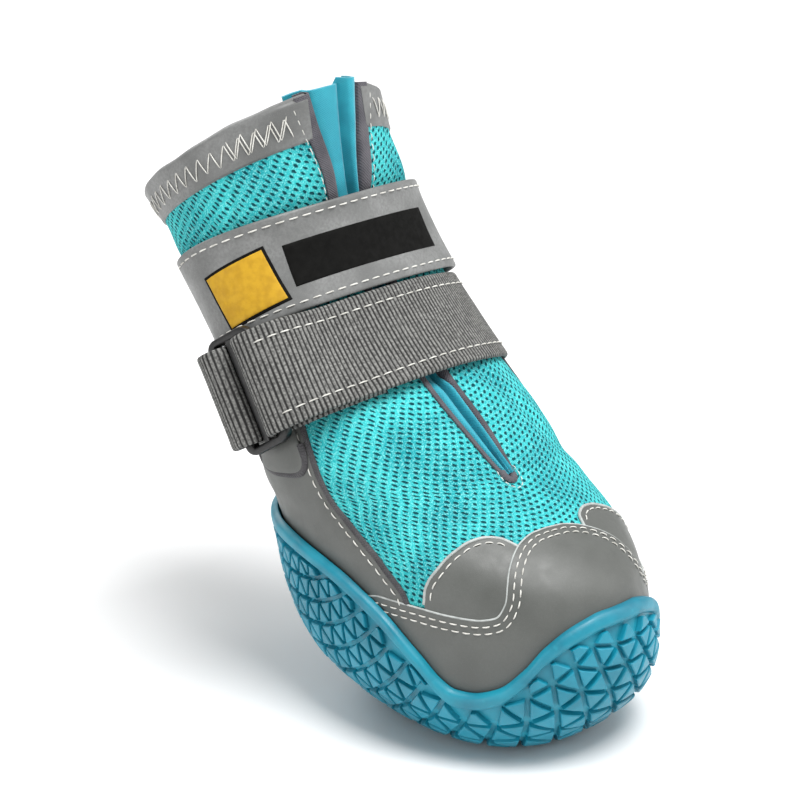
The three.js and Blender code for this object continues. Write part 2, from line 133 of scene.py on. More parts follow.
# The last's rings from the feather edge up to the collar, then what is read off it by ring number or
# angle: the sole's rim, the half width of the slit, the shell's wall, the air under a thin tape and under
# a strap or the sole, the distance between rings near the collar, and the creases.
SECTION_COLUMNS = ("heel_fore", "heel_up", "toe_fore", "toe_up", "half", "side", "heel_square", "toe_square")
SECTION_ROWS = (
    (-24.6, 9.6, 25.5, 7.0, 19.8, 0, 2.4, 2.4),
    (-30.6, 14.2, 31.0, 12.0, 24.2, 0, 2.4, 2.2),
    (-34.8, 19.6, 33.8, 18.5, 26.4, 0, 2.4, 1.95),
    (-37.8, 25.6, 34.4, 25.0, 27.2, 0, 2.4, 1.88),
    (-39.2, 30.0, 32.6, 31.4, 27.4, 0, 2.4, 1.8),
    (-40.2, 34.2, 27.2, 37.0, 27.7, 0, 2.45, 1.8),
    (-40.7, 37.6, 18.6, 41.2, 27.6, 0, 2.5, 1.87),
    (-40.8, 40.4, 8.2, 46.2, 27.6, -0.1, 2.5, 2.0),
    (-40.6, 43.8, -1.4, 53.4, 27.5, -0.4, 2.4, 2.1),
    (-40.4, 48.2, -11.2, 60.9, 26.9, -0.9, 2.3, 2.15),
    (-42.2, 54.4, -18.6, 68.2, 26.0, -1.6, 2.15, 2.15),
    (-46.2, 61.0, -24.6, 76.2, 25.0, -2.5, 2.1, 2.1),
    (-52.0, 67.2, -29.4, 84.4, 24.2, -3.1, 2.1, 2.1),
    (-58.8, 72.8, -32.2, 92.8, 23.5, -3.7, 2.1, 2.1),
    (-66.8, 78.6, -32.9, 102.4, 22.9, -4.5, 2.1, 2.1),
    (-75.0, 84.0, -33.6, 112.2, 22.2, -5.4, 2.1, 2.1),
)
COLLAR = len(SECTION_ROWS) - 1
RIM = Curve((
    (0, 30.0), (8, 29.8), (15, 28.9), (22, 27.5), (30, 24.8), (37, 20.6), (46, 16.6), (55, 15.3),
    (60, 15.5), (65, 17.2), (71, 21.2), (82, 27.6), (88, 30.0), (95, 32.2), (105, 34.0), (120, 35.3),
    (150, 35.6), (180, 35.2),
))
SLIT_END = 7.05
SLIT = Curve((
    (7.05, 0.0), (7.15, 0.75), (7.4, 1.35), (8.0, 2.1), (8.6, 2.4), (12.0, 2.5), (13.4, 3.4), (15.0, 6.2),
))
WALL = 1.7
GAP = 0.03
AIR = 0.45
RING_STEP = 10.6
CREASES = tuple(Crease(*row) for row in (
    (13.5, -62, 9, 1.8, 0.35, 80), (13.2, -98, 7, 1.6, 0.3, 100), (13.6, 40, 8, 1.6, 0.3, 95),
    (13.4, 120, 9, 2.2, 0.4, 70), (13.3, 165, 9, 2.4, 0.35, 100), (13.0, -150, 9, 2.2, 0.35, 75),
    (8.2, -36, 11, 2.4, 0.4, 62), (8.4, 30, 11, 2.4, 0.4, 118), (7.2, -58, 10, 2.6, 0.32, 30),
    (7.0, 52, 10, 2.6, 0.32, 150), (6.6, -30, 9, 2.2, 0.25, 12), (6.6, 22, 9, 2.2, 0.25, 168),
    (8.6, -100, 8, 2.6, 0.35, 20), (8.6, 104, 8, 2.6, 0.35, 160), (9.2, 180, 12, 2.4, 0.45, 0),
    (6.4, 176, 10, 2.6, 0.3, 4),
))


class Last:
    """The upper's outer surface, by ring number up the boot and angle round it."""

    def __init__(self) -> None:
        """Makes one smooth curve for each column of the sections."""
        rows = np.array(SECTION_ROWS, float)
        self.columns = {
            name: Curve(tuple((float(ring), float(value)) for ring, value in enumerate(rows[:, i])))
            for i, name in enumerate(SECTION_COLUMNS)
        }

    def row(self, name: str, ring: Number) -> Array:
        """Value of one column of the sections at a ring number."""
        return self.columns[name].at(ring)

    def skin(self, ring: Number, angle: Number) -> Array:
        """Points of the outer surface: a leaning superellipse through the ring's heel and toe points.

        Args:
            ring: Ring numbers, 0 at the feather edge.
            angle: Angles.

        Returns:
            Points.
        """
        ring, angle = matched(ring, angle)
        turn = np.radians(angle)
        cos, sin = np.cos(turn), np.sin(turn)
        square = np.where(cos < 0, self.row("heel_square", ring), self.row("toe_square", ring))
        reach = (np.abs(cos) ** square + np.abs(sin) ** square) ** (-1 / square)
        along = (1 + reach * cos) / 2
        fore = lerp(self.row("heel_fore", ring), self.row("toe_fore", ring), along)
        up = lerp(self.row("heel_up", ring), self.row("toe_up", ring), along)
        across = self.row("side", ring) + self.row("half", ring) * reach * sin
        return np.stack([across, -fore, up], -1)

    def outward(self, ring: Number, angle: Number) -> Array:
        """Outward normals of the surface, from a small step round and a small step up.

        Args:
            ring: Ring numbers.
            angle: Angles.

        Returns:
            Unit vectors.
        """
        ring, angle = matched(ring, angle)
        low, high = np.maximum(ring - 0.02, 0), np.minimum(ring + 0.02, COLLAR)
        around = self.skin(ring, angle + 1) - self.skin(ring, angle - 1)
        return unit(np.cross(around, self.skin(high, angle) - self.skin(low, angle)))

    def over(self, ring: Number, angle: Number, height: Number) -> Array:
        """Points at a height over the smooth surface; a negative height is inside it."""
        return self.skin(ring, angle) + self.outward(ring, angle) * np.asarray(height, float)[..., None]

    def relief(self, ring: Number, angle: Number) -> Array:
        """Height of the cloth over the smooth surface: its creases and the fullness between seams.

        Each crease is depth (2 across squared - 1) exp(-across squared) exp(-along squared), with
        across and along measured in its own widths and lengths.

        Args:
            ring: Ring numbers.
            angle: Angles.

        Returns:
            Heights.
        """
        ring, angle = matched(ring, angle)
        turn = (angle + 180) % 360 - 180
        full = 0.9 * np.exp(-(((ring - 13.45) / 0.55) ** 2)) + 0.5 * np.exp(-(((ring - 7.8) / 0.9) ** 2))
        total = full * ease(0, 12, np.abs(turn))
        for fold in CREASES:
            away = (turn - fold.angle + 180) % 360 - 180
            side = away * self.row("half", ring) * math.pi / 180
            rise = (ring - fold.ring) * 7.6
            cos, sin = math.cos(math.radians(fold.turn)), math.sin(math.radians(fold.turn))
            along = (side * cos + rise * sin) / fold.length
            across = (rise * cos - side * sin) / fold.width
            total = total + fold.depth * (2 * across**2 - 1) * np.exp(-(across**2) - along**2)
        return total * ease(3.5, 5.5, ring) * (1 - ease(14.2, 14.9, ring))

    def cloth(self, ring: Number, angle: Number, height: Number) -> Array:
        """Points at a height over the creased cloth."""
        return self.over(ring, angle, height + self.relief(ring, angle))

    def rim_ring(self, angle: Array) -> Array:
        """Ring numbers at which the surface reaches the height of the sole's rim, by halving.

        Args:
            angle: Angles.

        Returns:
            Ring numbers.
        """
        up = RIM.at(np.abs((angle + 180) % 360 - 180))
        low, high = np.zeros_like(up), np.full_like(up, COLLAR)
        for _ in range(30):
            middle = (low + high) / 2
            below = self.skin(middle, angle)[..., 2] < up
            low, high = np.where(below, middle, low), np.where(below, high, middle)
        return (low + high) / 2

    def climb(self, ring: Number, angle: Number, distance: Number) -> Array:
        """Ring numbers reached by going a distance up the surface at one angle.

        Args:
            ring: Where to start.
            angle: Angles.
            distance: How far to go.

        Returns:
            Ring numbers.
        """
        at, angle, distance = matched(ring, angle, distance)
        for _ in range(12):
            room = np.where(at > COLLAR - 0.1, -0.05, 0.05)
            gap = np.linalg.norm(self.skin(at + room, angle) - self.skin(at, angle), axis=-1)
            at = at + distance / 12 * np.abs(room) / gap
        return at

    def rise(self, angle: Number, below: float = 0.1) -> Array:
        """Directions up the shaft at the collar, from a point this many rings below it."""
        return unit(self.skin(COLLAR, angle) - self.skin(COLLAR - below, angle))

    def side_angle(self, ring: Number, side: Number) -> Array:
        """Angle of a point a sideways distance from the middle line of the front."""
        return np.degrees(np.arcsin(np.asarray(side, float) / self.row("half", ring)))


LAST = Last()


# Meshes from arrays


def lengths(points: Array, axis: int) -> Array:
    """Distance travelled along one axis of a grid of points, from 0."""
    steps = np.linalg.norm(np.diff(points, axis=axis), axis=-1)
    return np.cumsum(np.insert(steps, 0, 0.0, axis=axis), axis=axis)


def grid_quads(rows: int, columns: int) -> Array:
    """Corner numbers of the faces between neighbours of a grid, faces by 4."""
    first = (np.arange(rows - 1)[:, None] * columns + np.arange(columns - 1)).ravel()
    return np.stack([first, first + 1, first + columns + 1, first + columns], 1)


def loop_quads(rows: int, columns: int, closed: bool = False) -> Array:
    """Corner numbers of the faces between rows that are loops of points.

    Args:
        rows: How many loops.
        columns: Points in each loop.
        closed: Whether the last loop joins the first.

    Returns:
        Faces by 4.
    """
    i, j = np.meshgrid(np.arange(rows if closed else rows - 1), np.arange(columns), indexing="ij")
    ahead, beside = (i + 1) % rows * columns, (j + 1) % columns
    here = i * columns
    return np.stack([here + j, here + beside, ahead + beside, ahead + j], -1).reshape(-1, 4)


@dataclass
class Shape:
    """Points, faces by number of corners, and a place on the cloth for each point, in millimetres."""

    points: Array
    faces: list[Array]
    cloth: Array
    finish: Sequence[int] = ()
    weld: Optional[Array] = None

    def facing_out(self) -> "Shape":
        """Turns every face round if the closed shape has a negative volume.

        Returns:
            The same shape.
        """
        volume = 0.0
        for group in self.faces:
            for k in range(1, group.shape[1] - 1):
                a, b, c = (self.points[group[:, i]] for i in (0, k, k + 1))
                volume += float(np.einsum("ij,ij->i", a, np.cross(b, c)).sum())
        if volume < 0:
            self.faces = [group[:, ::-1] for group in self.faces]
        return self

    @staticmethod
    def joined(shapes: Sequence["Shape"]) -> "Shape":
        """One shape from several of one finish.

        Args:
            shapes: The shapes.

        Returns:
            The joined shape.
        """
        starts = np.cumsum([0, *(len(shape.points) for shape in shapes)])
        faces = [group + start for shape, start in zip(shapes, starts) for group in shape.faces]
        points = np.concatenate([shape.points for shape in shapes])
        return Shape(points, faces, np.concatenate([shape.cloth for shape in shapes]))

    def fill(self, mesh: bpy.types.Mesh) -> None:
        """Puts the points, faces, finish numbers and cloth places into an empty mesh as whole arrays.

        Args:
            mesh: The mesh.
        """
        corners = np.concatenate([group.ravel() for group in self.faces])
        shared = corners if self.weld is None else self.weld[corners]
        used, numbered = np.unique(shared, return_inverse=True)
        groups = [len(group) for group in self.faces]
        sizes = np.repeat([group.shape[1] for group in self.faces], groups)
        numbers = np.repeat(self.finish or [0] * len(groups), groups)
        mesh.vertices.add(len(used))
        mesh.vertices.foreach_set("co", (self.points[used] * MM).astype(np.float32).ravel())
        mesh.loops.add(len(corners))
        mesh.loops.foreach_set("vertex_index", numbered.astype(np.int32))
        mesh.polygons.add(len(sizes))
        mesh.polygons.foreach_set("loop_start", (np.cumsum(sizes) - sizes).astype(np.int32))
        mesh.polygons.foreach_set("material_index", numbers.astype(np.int32))
        mesh.polygons.foreach_set("use_smooth", np.ones(len(sizes), bool))
        layer = mesh.uv_layers.new(name="cloth")
        layer.data.foreach_set("uv", self.cloth[corners].astype(np.float32).ravel())

    def place(self, name: str, slot: str, *finishes: "Finish", sharp: float = 38) -> bpy.types.Object:
        """Makes the Blender object and rides it on the boot.

        Args:
            name: Name of the piece.
            slot: Not used.
            *finishes: Finishes, in the order of their numbers.
            sharp: Angle in degrees past which an edge is shaded hard.

        Returns:
            The object, in metres, at the origin.
        """
        mesh = bpy.data.meshes.new(name)
        self.fill(mesh)
        for finish in finishes:
            mesh.materials.append(dressed(finish))
        mesh.update(calc_edges=True)
        mesh.validate()
        if self.weld is not None:
            work = bmesh.new()
            work.from_mesh(mesh)
            bmesh.ops.recalc_face_normals(work, faces=work.faces)
            work.to_mesh(mesh)
            work.free()
        mesh.set_sharp_from_angle(angle=math.radians(sharp))
        piece = bpy.data.objects.new(name, mesh)
        bpy.context.scene.collection.objects.link(piece)
        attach(piece, "root")
        LOG.info("%s: %d faces", name, len(mesh.polygons))
        return piece


def shell(top: Array, bottom: Array, cloth: Optional[Array] = None) -> Shape:
    """Closed slab between two matching grids of points.

    Args:
        top: Outer points, rows by columns by 3.
        bottom: Inner points, the same shape.
        cloth: Place on the cloth for each point, or else the distances along the grid.

    Returns:
        The slab, its walls round the edge of the grid.
    """
    rows, columns = top.shape[:2]
    if cloth is None:
        cloth = np.stack([lengths(top, 1), lengths(top, 0)], -1)
    faces = grid_quads(rows, columns)
    count = rows * columns
    border = np.concatenate([
        np.arange(columns), np.arange(1, rows) * columns + columns - 1,
        (rows - 1) * columns + np.arange(columns - 2, -1, -1), np.arange(rows - 2, 0, -1) * columns,
    ])
    after = np.roll(border, -1)
    walls = np.stack([border, border + count, after + count, after], 1)
    points = np.concatenate([top.reshape(-1, 3), bottom.reshape(-1, 3)])
    flat = cloth.reshape(-1, 2)
    shape = Shape(points, [faces, (faces + count)[:, ::-1], walls], np.concatenate([flat, flat]))
    return shape.facing_out()


def tube(path: Array, side: Array, profile: Array, closed: bool = False) -> Shape:
    """Profile carried along paths: each point is path + side profile x + up profile y.

    Args:
        path: Points along one or more paths, paths by steps by 3.
        side: Two frame directions at each step, paths by steps by 2 by 3.
        profile: Closed outline, corners by 2, or steps by corners by 2.
        closed: Whether each path joins up again.

    Returns:
        All the tubes as one shape; the ends of open ones are capped.
    """
    count, steps = path.shape[:2]
    outline = np.broadcast_to(profile, (steps, *profile.shape[-2:]))
    corners = outline.shape[1]
    points = path[:, :, None] + np.einsum("skc,pscx->pskx", outline, side)
    starts = (np.arange(count) * steps * corners)[:, None, None]
    faces = [(loop_quads(steps, corners, closed)[None] + starts).reshape(-1, 4)]
    if not closed:
        low = np.arange(corners)[::-1][None, None] + starts
        high = np.arange(corners)[None, None] + (steps - 1) * corners + starts
        faces += [low.reshape(-1, corners), high.reshape(-1, corners)]
    travel = np.broadcast_to(lengths(path, 1)[:, :, None], (count, steps, corners))
    turn = np.broadcast_to(np.arange(corners) / corners, travel.shape)
    cloth = np.stack([travel, turn], -1).reshape(-1, 2)
    return Shape(points.reshape(-1, 3), faces, cloth).facing_out()


def stacked(grid: Array, cloth: Array) -> Shape:
    """Closed body from loops of points stacked from one end to the other, with a face at each end.

    Args:
        grid: Loops by points by 3.
        cloth: Place on the cloth for each point.

    Returns:
        The body, facing out.
    """
    rows, columns = grid.shape[:2]
    loop = np.arange(columns)[None]
    faces = [loop_quads(rows, columns), loop[:, ::-1], loop + (rows - 1) * columns]
    return Shape(grid.reshape(-1, 3), faces, cloth.reshape(-1, 2)).facing_out()


def disc(corners: int, radius: float, squash: float = 1.0) -> Array:
    """Outline of a round or flattened thread."""
    turn = np.arange(corners) / corners * 2 * math.pi
    return np.stack([np.cos(turn) * radius, np.sin(turn) * radius * squash], 1)


def framed(path: Array, up: Array) -> Array:
    """Side and up directions along paths, square to the way they run.

    Args:
        path: Points, paths by steps by 3.
        up: Outward directions there.

    Returns:
        Both directions at each step.
    """
    run = np.gradient(path, axis=1)
    side = np.cross(run, up)
    side /= np.linalg.norm(side, axis=-1, keepdims=True) + 1e-12
    lift = np.cross(side, run)
    lift /= np.linalg.norm(lift, axis=-1, keepdims=True) + 1e-12
    return np.stack([side, lift], 2)


def edged(count: int, size: float, soft: float = 0.35) -> Pair:
    """Shares across a thin layer with extra ones at both edges, and the layer's fullness there.

    Args:
        count: Spans between the edges.
        size: Width of the layer.
        soft: How far in the edge is rounded.

    Returns:
        The shares from 0 to 1, and the part of the thickness that each keeps.
    """
    near = np.array([0.0, 0.12, 0.4, 1.0]) * soft / size
    shares = np.concatenate([near, np.linspace(near[-1], 1 - near[-1], count + 1)[1:-1], 1 - near[::-1]])
    gap = np.clip(np.minimum(shares, 1 - shares) * size / soft, 0, 1)
    return shares, np.sqrt(1 - (1 - gap) ** 2)


def thinned(count: int, part: float) -> Array:
    """Fullness of a layer's stations: all of it, but only a part at both ends."""
    return np.concatenate([[part], np.ones(count - 2), [part]])


def overlay(
    ring: Array, angle: Array, low: float, high: float, fullness: Pair, lies: bool = True,
) -> Shape:
    """Thin layer sewn on the upper, over a patch given as a function of two shares.

    Args:
        ring: Ring numbers of the patch's grid, made on the shares of edged().
        angle: Angles of the same grid.
        low: Height of its underside over the cloth.
        high: Height of its face.
        fullness: Part of the thickness that each row keeps, and each column.
        lies: Whether it follows the creases of the cloth.

    Returns:
        The closed layer.
    """
    full = np.minimum(fullness[0][:, None], fullness[1][None])
    ring, angle = np.broadcast_arrays(ring, angle)
    put = LAST.cloth if lies else LAST.over
    return shell(put(ring, angle, low + (high - low) * full), put(ring, angle, low))


# Finishes


def colour(hexed: str) -> tuple[float, ...]:
    """Linear red, green, blue and 1 of a six-digit screen colour."""
    parts = [int(hexed[i:i + 2], 16) / 255 for i in (0, 2, 4)]
    return (*(p / 12.92 if p <= 0.04045 else ((p + 0.055) / 1.055) ** 2.4 for p in parts), 1.0)


class Recipe:
    """Node tree of one finish, with short ways to add and join its nodes."""

    def __init__(self, name: str, roughness: float, **sockets: float) -> None:
        """Starts a material whose shader has these uniform values on its own sockets.

        Args:
            name: Name of the material.
            roughness: Its roughness.
            **sockets: The other values, by socket name.
        """
        self.material = bpy.data.materials.new(name)
        self.material.use_nodes = True
        self.tree = self.material.node_tree
        self.shader = self.tree.nodes["Principled BSDF"]
        for key, value in {"Roughness": roughness, **sockets}.items():
            self.shader.inputs[key.replace("_", " ")].default_value = value
        self.places = self.tree.nodes.new("ShaderNodeTexCoord")

    def join(self, sockets: object, values: dict) -> None:
        """Links outputs to inputs, or sets the inputs to numbers or screen colours.

        Args:
            sockets: The node's inputs.
            values: An output, a number or six hex digits by name or place; None is left out.
        """
        for key, value in values.items():
            if isinstance(value, Socket):
                self.tree.links.new(value, sockets[key])
            elif value is not None:
                sockets[key].default_value = colour(value) if isinstance(value, str) else value

    def node(self, kind: str, values: dict, **options: str) -> bpy.types.NodeOutputs:
        """Adds a node.

        Args:
            kind: Its type.
            values: What its inputs are joined or set to.
            **options: The node's own settings.

        Returns:
            Its outputs.
        """
        node = self.tree.nodes.new("ShaderNode" + kind)
        for key, value in options.items():
            setattr(node, key, value)
        self.join(node.inputs, values)
        return node.outputs

    def math(self, kind: str, *values: object) -> Socket:
        """Result of one arithmetic step."""
        return self.node("Math", dict(enumerate(values)), operation=kind)[0]

    def between(self, value: object, low: float, high: float, to: tuple[float, float] = (0, 1)) -> Socket:
        """Value spread from low..high to another range, smooth at both ends."""
        values = dict(enumerate((value, low, high, *to)))
        return self.node("MapRange", values, interpolation_type="SMOOTHSTEP")[0]

    def noise(self, size: float, detail: float) -> Socket:
        """Cloudy pattern on the object, its blobs about size millimetres wide."""
        values = {"Vector": self.places.outputs["Object"], "Scale": 1 / (size * MM), "Detail": detail}
        return self.node("TexNoise", values)["Fac"]

    def cloud(self, size: float, detail: float, low: float, high: float, to: tuple = (0, 1)) -> Socket:
        """Noise of a size and detail, spread from low..high to another range."""
        return self.between(self.noise(size, detail), low, high, to)

    def cloth(self) -> tuple[Socket, Socket]:
        """Distances along and across the piece's cloth, in millimetres."""
        places = self.node("SeparateXYZ", {0: self.places.outputs["UV"]})
        return places[0], places[1]

    def blend(self, factor: object, first: object, second: object) -> Socket:
        """Colour mixed from first to second."""
        return self.node("Mix", {0: factor, 6: first, 7: second}, data_type="RGBA")[2]

    def bump(self, height: object, depth: float, strength: float = 1.0, under: object = None) -> Socket:
        """Normal from a pattern that stands depth millimetres out, over the normal of a coarser one."""
        values = {"Strength": strength, "Distance": depth * MM, "Height": height, "Normal": under}
        return self.node("Bump", values)[0]

    def done(self, base: object, normal: object, roughness: object = None) -> Material:
        """Joins the colour, the normal and a varying roughness to the shader, and gives the material."""
        self.join(self.shader.inputs, {"Base Color": base, "Normal": normal, "Roughness": roughness})
        return self.material

    def holes(self, pitch: float, row: float, tall: float) -> Socket:
        """Distance to the nearest of staggered points, in millimetres, shrunk across by tall.

        The points are two square lattices, the second moved half a cell both ways, so the distance
        is the lesser of two distances to a cell's middle.

        Args:
            pitch: Distance between holes along a row.
            row: Distance between every second row.
            tall: Height of a hole in its widths.

        Returns:
            The distance.
        """
        along, across = self.cloth()
        found = []
        for shift in (0.0, 0.5):
            parts = []
            for place, step, squeeze in ((along, pitch, 1.0), (across, row, 1 / tall)):
                cell = self.math("FRACT", self.math("MULTIPLY_ADD", place, 1 / step, shift))
                parts.append(self.math("MULTIPLY", self.math("SUBTRACT", cell, 0.5), step * squeeze))
            square = self.math("MULTIPLY", parts[0], parts[0])
            found.append(self.math("SQRT", self.math("MULTIPLY_ADD", parts[1], parts[1], square)))
        return self.math("MINIMUM", found[0], found[1])


@dataclass(frozen=True)
class MeshCloth:
    """Knitted spacer mesh: thick pale yarn with painted highlights, round staggered holes of dark cloth and
    painted shade.
    """

    name: str
    yarn: str = "37b9bb"
    shade: str = "179199"
    # Colour of the painted highlights on the tops of the yarn's fine grain.
    glint: str = "8ee6e4"
    # Colour of the painted holes: the darker cloth beneath, darkened further as painted shade in them.
    hole: str = "02424c"
    pitch: float = 1.5
    row: float = 2.5
    tall: float = 0.8

    def make(self) -> Material:
        """Makes it: yarn wherever the nearest hole is far enough off.

        Returns:
            The material.
        """
        recipe = Recipe(self.name, 0.9, Specular_IOR_Level=0.2)
        fine = recipe.noise(0.28, 2)
        wobble = recipe.math("MULTIPLY", recipe.math("SUBTRACT", recipe.noise(0.7, 2), 0.5), 0.75)
        near = recipe.math("ADD", wobble, recipe.holes(self.pitch, self.row, self.tall))
        yarn = recipe.between(near, 0.2, 0.5)
        body = recipe.blend(recipe.cloud(8, 3, 0.35, 0.7), self.yarn, self.shade)
        body = recipe.blend(recipe.cloud(1.1, 2, 0.4, 0.7, (0, 0.5)), body, self.shade)
        # Painted highlight: blended towards the glint colour where the fine grain, and so the bump, stands
        # highest.
        body = recipe.blend(recipe.between(fine, 0.45, 0.7, (0, 0.55)), body, self.glint)
        height = recipe.math("MULTIPLY_ADD", fine, 0.35, yarn)
        # The holes are only painted: their dark colour is the cloth beneath with painted shade.
        return recipe.done(recipe.blend(yarn, self.hole, body), recipe.bump(height, 0.4))


@dataclass(frozen=True)
class Rubber:
    """Moulded rubber with a fine matt grain, clouded and rubbed paler here and there."""

    name: str
    base: str
    deep: str
    roughness: float = 0.45
    rubbed: str = "2fa3b4"

    def make(self) -> Material:
        """Makes it.

        Returns:
            The material.
        """
        recipe = Recipe(self.name, self.roughness, Coat_Weight=0.04, Coat_Roughness=0.3)
        base = recipe.blend(recipe.cloud(9, 3, 0.35, 0.75), self.base, self.deep)
        base = recipe.blend(recipe.cloud(2.2, 4, 0.62, 0.8, (0, 0.3)), base, self.rubbed)
        rough = recipe.cloud(4, 3, 0.3, 0.7, (self.roughness - 0.08, self.roughness + 0.14))
        return recipe.done(base, recipe.bump(recipe.noise(0.25, 2), 0.05, 0.6), rough)


@dataclass(frozen=True)
class Reflective:
    """Smooth grey reflective cloth: a fine bead grain with painted glints, over a plain weave, with faint
    rubbed patches.
    """

    name: str
    base: str
    worn: str
    # Colour of the painted highlights on the bead grain.
    glint: str
    weave: float = 0.25

    def make(self) -> Material:
        """Makes it.

        Returns:
            The material.
        """
        recipe = Recipe(self.name, 0.5)
        grain = recipe.noise(0.12, 1)
        base = recipe.blend(recipe.cloud(11, 4, 0.35, 0.7), self.base, self.worn)
        # Painted highlight: blended towards the glint colour where the bead grain, and so the bump, stands
        # highest.
        base = recipe.blend(recipe.between(grain, 0.55, 0.75, (0, 0.3)), base, self.glint)
        base = recipe.blend(recipe.cloud(0.55, 2, 0.35, 0.7, (0, self.weave)), base, self.worn)
        soft = recipe.bump(recipe.noise(2.4, 3), 0.08, 0.5)
        rough = recipe.cloud(3, 4, 0.3, 0.7, (0.4, 0.52))
        return recipe.done(base, recipe.bump(grain, 0.03, 0.5, soft), rough)


@dataclass(frozen=True)
class Ribbed:
    """Woven webbing: the ribs are in the mesh, and the finish adds yarn twist and shade between them."""

    name: str
    light: str = "878784"
    worn: str = "565654"
    # Colour of the painted shade where the weft dips on the rib tops.
    crossing: str = "454544"
    dark: str = "161615"
    pitch: float = 0.92
    weft: float = 0.62

    def make(self) -> Material:
        """Makes it: cosine ribs along the cloth, crossed by a finer cosine weft, with painted shade in their
        dips.

        Returns:
            The material.
        """
        recipe = Recipe(self.name, 0.8)
        along, across = recipe.cloth()
        phase = recipe.math("COSINE", recipe.math("MULTIPLY", along, 2 * math.pi / self.pitch))
        weft = recipe.math("COSINE", recipe.math("MULTIPLY", across, 2 * math.pi / self.weft))
        checker = recipe.math("MULTIPLY", phase, weft)
        wander = recipe.math("MULTIPLY", recipe.math("SUBTRACT", recipe.noise(3, 3), 0.5), 1.2)
        groove = recipe.between(recipe.math("ADD", phase, wander), -0.95, 0.45)
        body = recipe.blend(recipe.cloud(0.5, 2, 0.35, 0.7), self.light, self.worn)
        # Painted shade on the rib tops where the weft, and so the bump, dips.
        body = recipe.blend(recipe.between(checker, -0.6, 0.6, (0.25, 0)), body, self.crossing)
        height = recipe.math("MULTIPLY_ADD", weft, 0.3, recipe.noise(0.3, 2))
        return recipe.done(recipe.blend(groove, self.dark, body), recipe.bump(height, 0.08))


@dataclass(frozen=True)
class Cloth:
    """Plain close cloth with a fine rib, for linings, bindings and the tongue."""

    name: str
    base: str
    # Darker tone of the random mottle, and of the painted shade in the weave's low parts.
    shade: str
    rib: float = 0.5
    depth: float = 0.05
    roughness: float = 0.75
    sheen: float = 0.3

    def make(self) -> Material:
        """Makes it: sine ribs both ways, multiplied into a weave, with painted shade in the weave's low parts.

        Returns:
            The material.
        """
        recipe = Recipe(self.name, self.roughness, Sheen_Weight=self.sheen, Sheen_Roughness=0.4)
        turns = 2 * math.pi / self.rib
        warp, ribs = (recipe.math("SINE", recipe.math("MULTIPLY", way, turns)) for way in recipe.cloth())
        weave = recipe.math("MULTIPLY", ribs, warp)
        base = recipe.blend(recipe.cloud(4, 4, 0.35, 0.7), self.base, self.shade)
        # Painted shade: the weave's low parts are blended up to 0.18 of the way to the shade colour.
        base = recipe.blend(recipe.between(weave, -1, 1, (0.18, 0)), base, self.shade)
        height = recipe.math("MULTIPLY_ADD", recipe.noise(0.4, 2), 0.8, weave)
        return recipe.done(base, recipe.bump(height, self.depth))


@dataclass(frozen=True)
class Plain:
    """Thread, moulded plastic or printed patch: one colour with a fine grain and uneven gloss."""

    name: str
    base: str
    shade: str
    grain: float = 0.2
    depth: float = 0.03
    roughness: float = 0.6
    shine: float = 0.5

    def make(self) -> Material:
        """Makes it.

        Returns:
            The material.
        """
        recipe = Recipe(self.name, self.roughness, Specular_IOR_Level=self.shine)
        base = recipe.blend(recipe.cloud(1.6, 4, 0.35, 0.7), self.base, self.shade)
        rough = recipe.cloud(1.2, 3, 0.3, 0.7, (self.roughness - 0.08, self.roughness + 0.1))
        return recipe.done(base, recipe.bump(recipe.noise(self.grain, 2), self.depth, 0.7), rough)


class Finish(Enum):
    """The finishes of the boot."""

    MESH = MeshCloth("mesh")
    RUBBER = Rubber("sole_rubber", base="118aa0", deep="0a6a80")
    TREAD = Rubber("tread_rubber", base="1288a0", deep="0c7085", roughness=0.4)
    # Each glint is the colour of the painted highlights on the reflective beads.
    TAPE = Reflective("reflective_tape", base="7c7d7c", worn="5f605f", glint="979897", weave=0.55)
    PANEL = Reflective("reflective_panel", base="595b58", worn="515350", glint="6e706d")
    WEBBING = Ribbed("webbing")
    BINDING = Cloth("edge_binding", "56545a", "444249", rib=0.55, depth=0.07, sheen=0.1)
    FOLD = Cloth("folded_edge", "4b4a4c", "38373a", rib=0.5, depth=0.06, sheen=0.1)
    TONGUE = Cloth("tongue_fabric", "219fb2", "1690a4", rib=0.45, depth=0.035, roughness=0.6)
    LINING = Cloth("lining", "3a4347", "2b3236", rib=0.7, depth=0.12, roughness=0.9)
    THREAD = Plain("thread", "d9d8d2", "b9b7b0", grain=0.15, depth=0.05, roughness=0.7)
    PIPING = Plain("piping", "b4b8b6", "9a9e9c", grain=0.3, depth=0.04, roughness=0.5)
    PLASTIC = Plain("ring_plastic", "161616", "0e0e0e", grain=0.4, depth=0.02, roughness=0.38)
    PATCH = Plain("yellow_patch", "c1961f", "b08618", grain=0.3, depth=0.03, roughness=0.6, shine=0.3)
    LABEL = Plain("dark_label", "10100f", "0b0b0a", grain=0.3, depth=0.03, roughness=0.65, shine=0.08)
    HOOK = Plain("hook_tape", "4a4a49", "2f2f2f", grain=0.5, depth=0.12, roughness=0.9)
    FUZZ = Plain("loop_fuzz", "a8a6a4", "8a8886", grain=0.3, depth=0.05, roughness=0.9)


@functools.cache
def dressed(finish: Finish) -> Material:
    """Material of a finish, made once."""
    return finish.value.make()


# Sewing


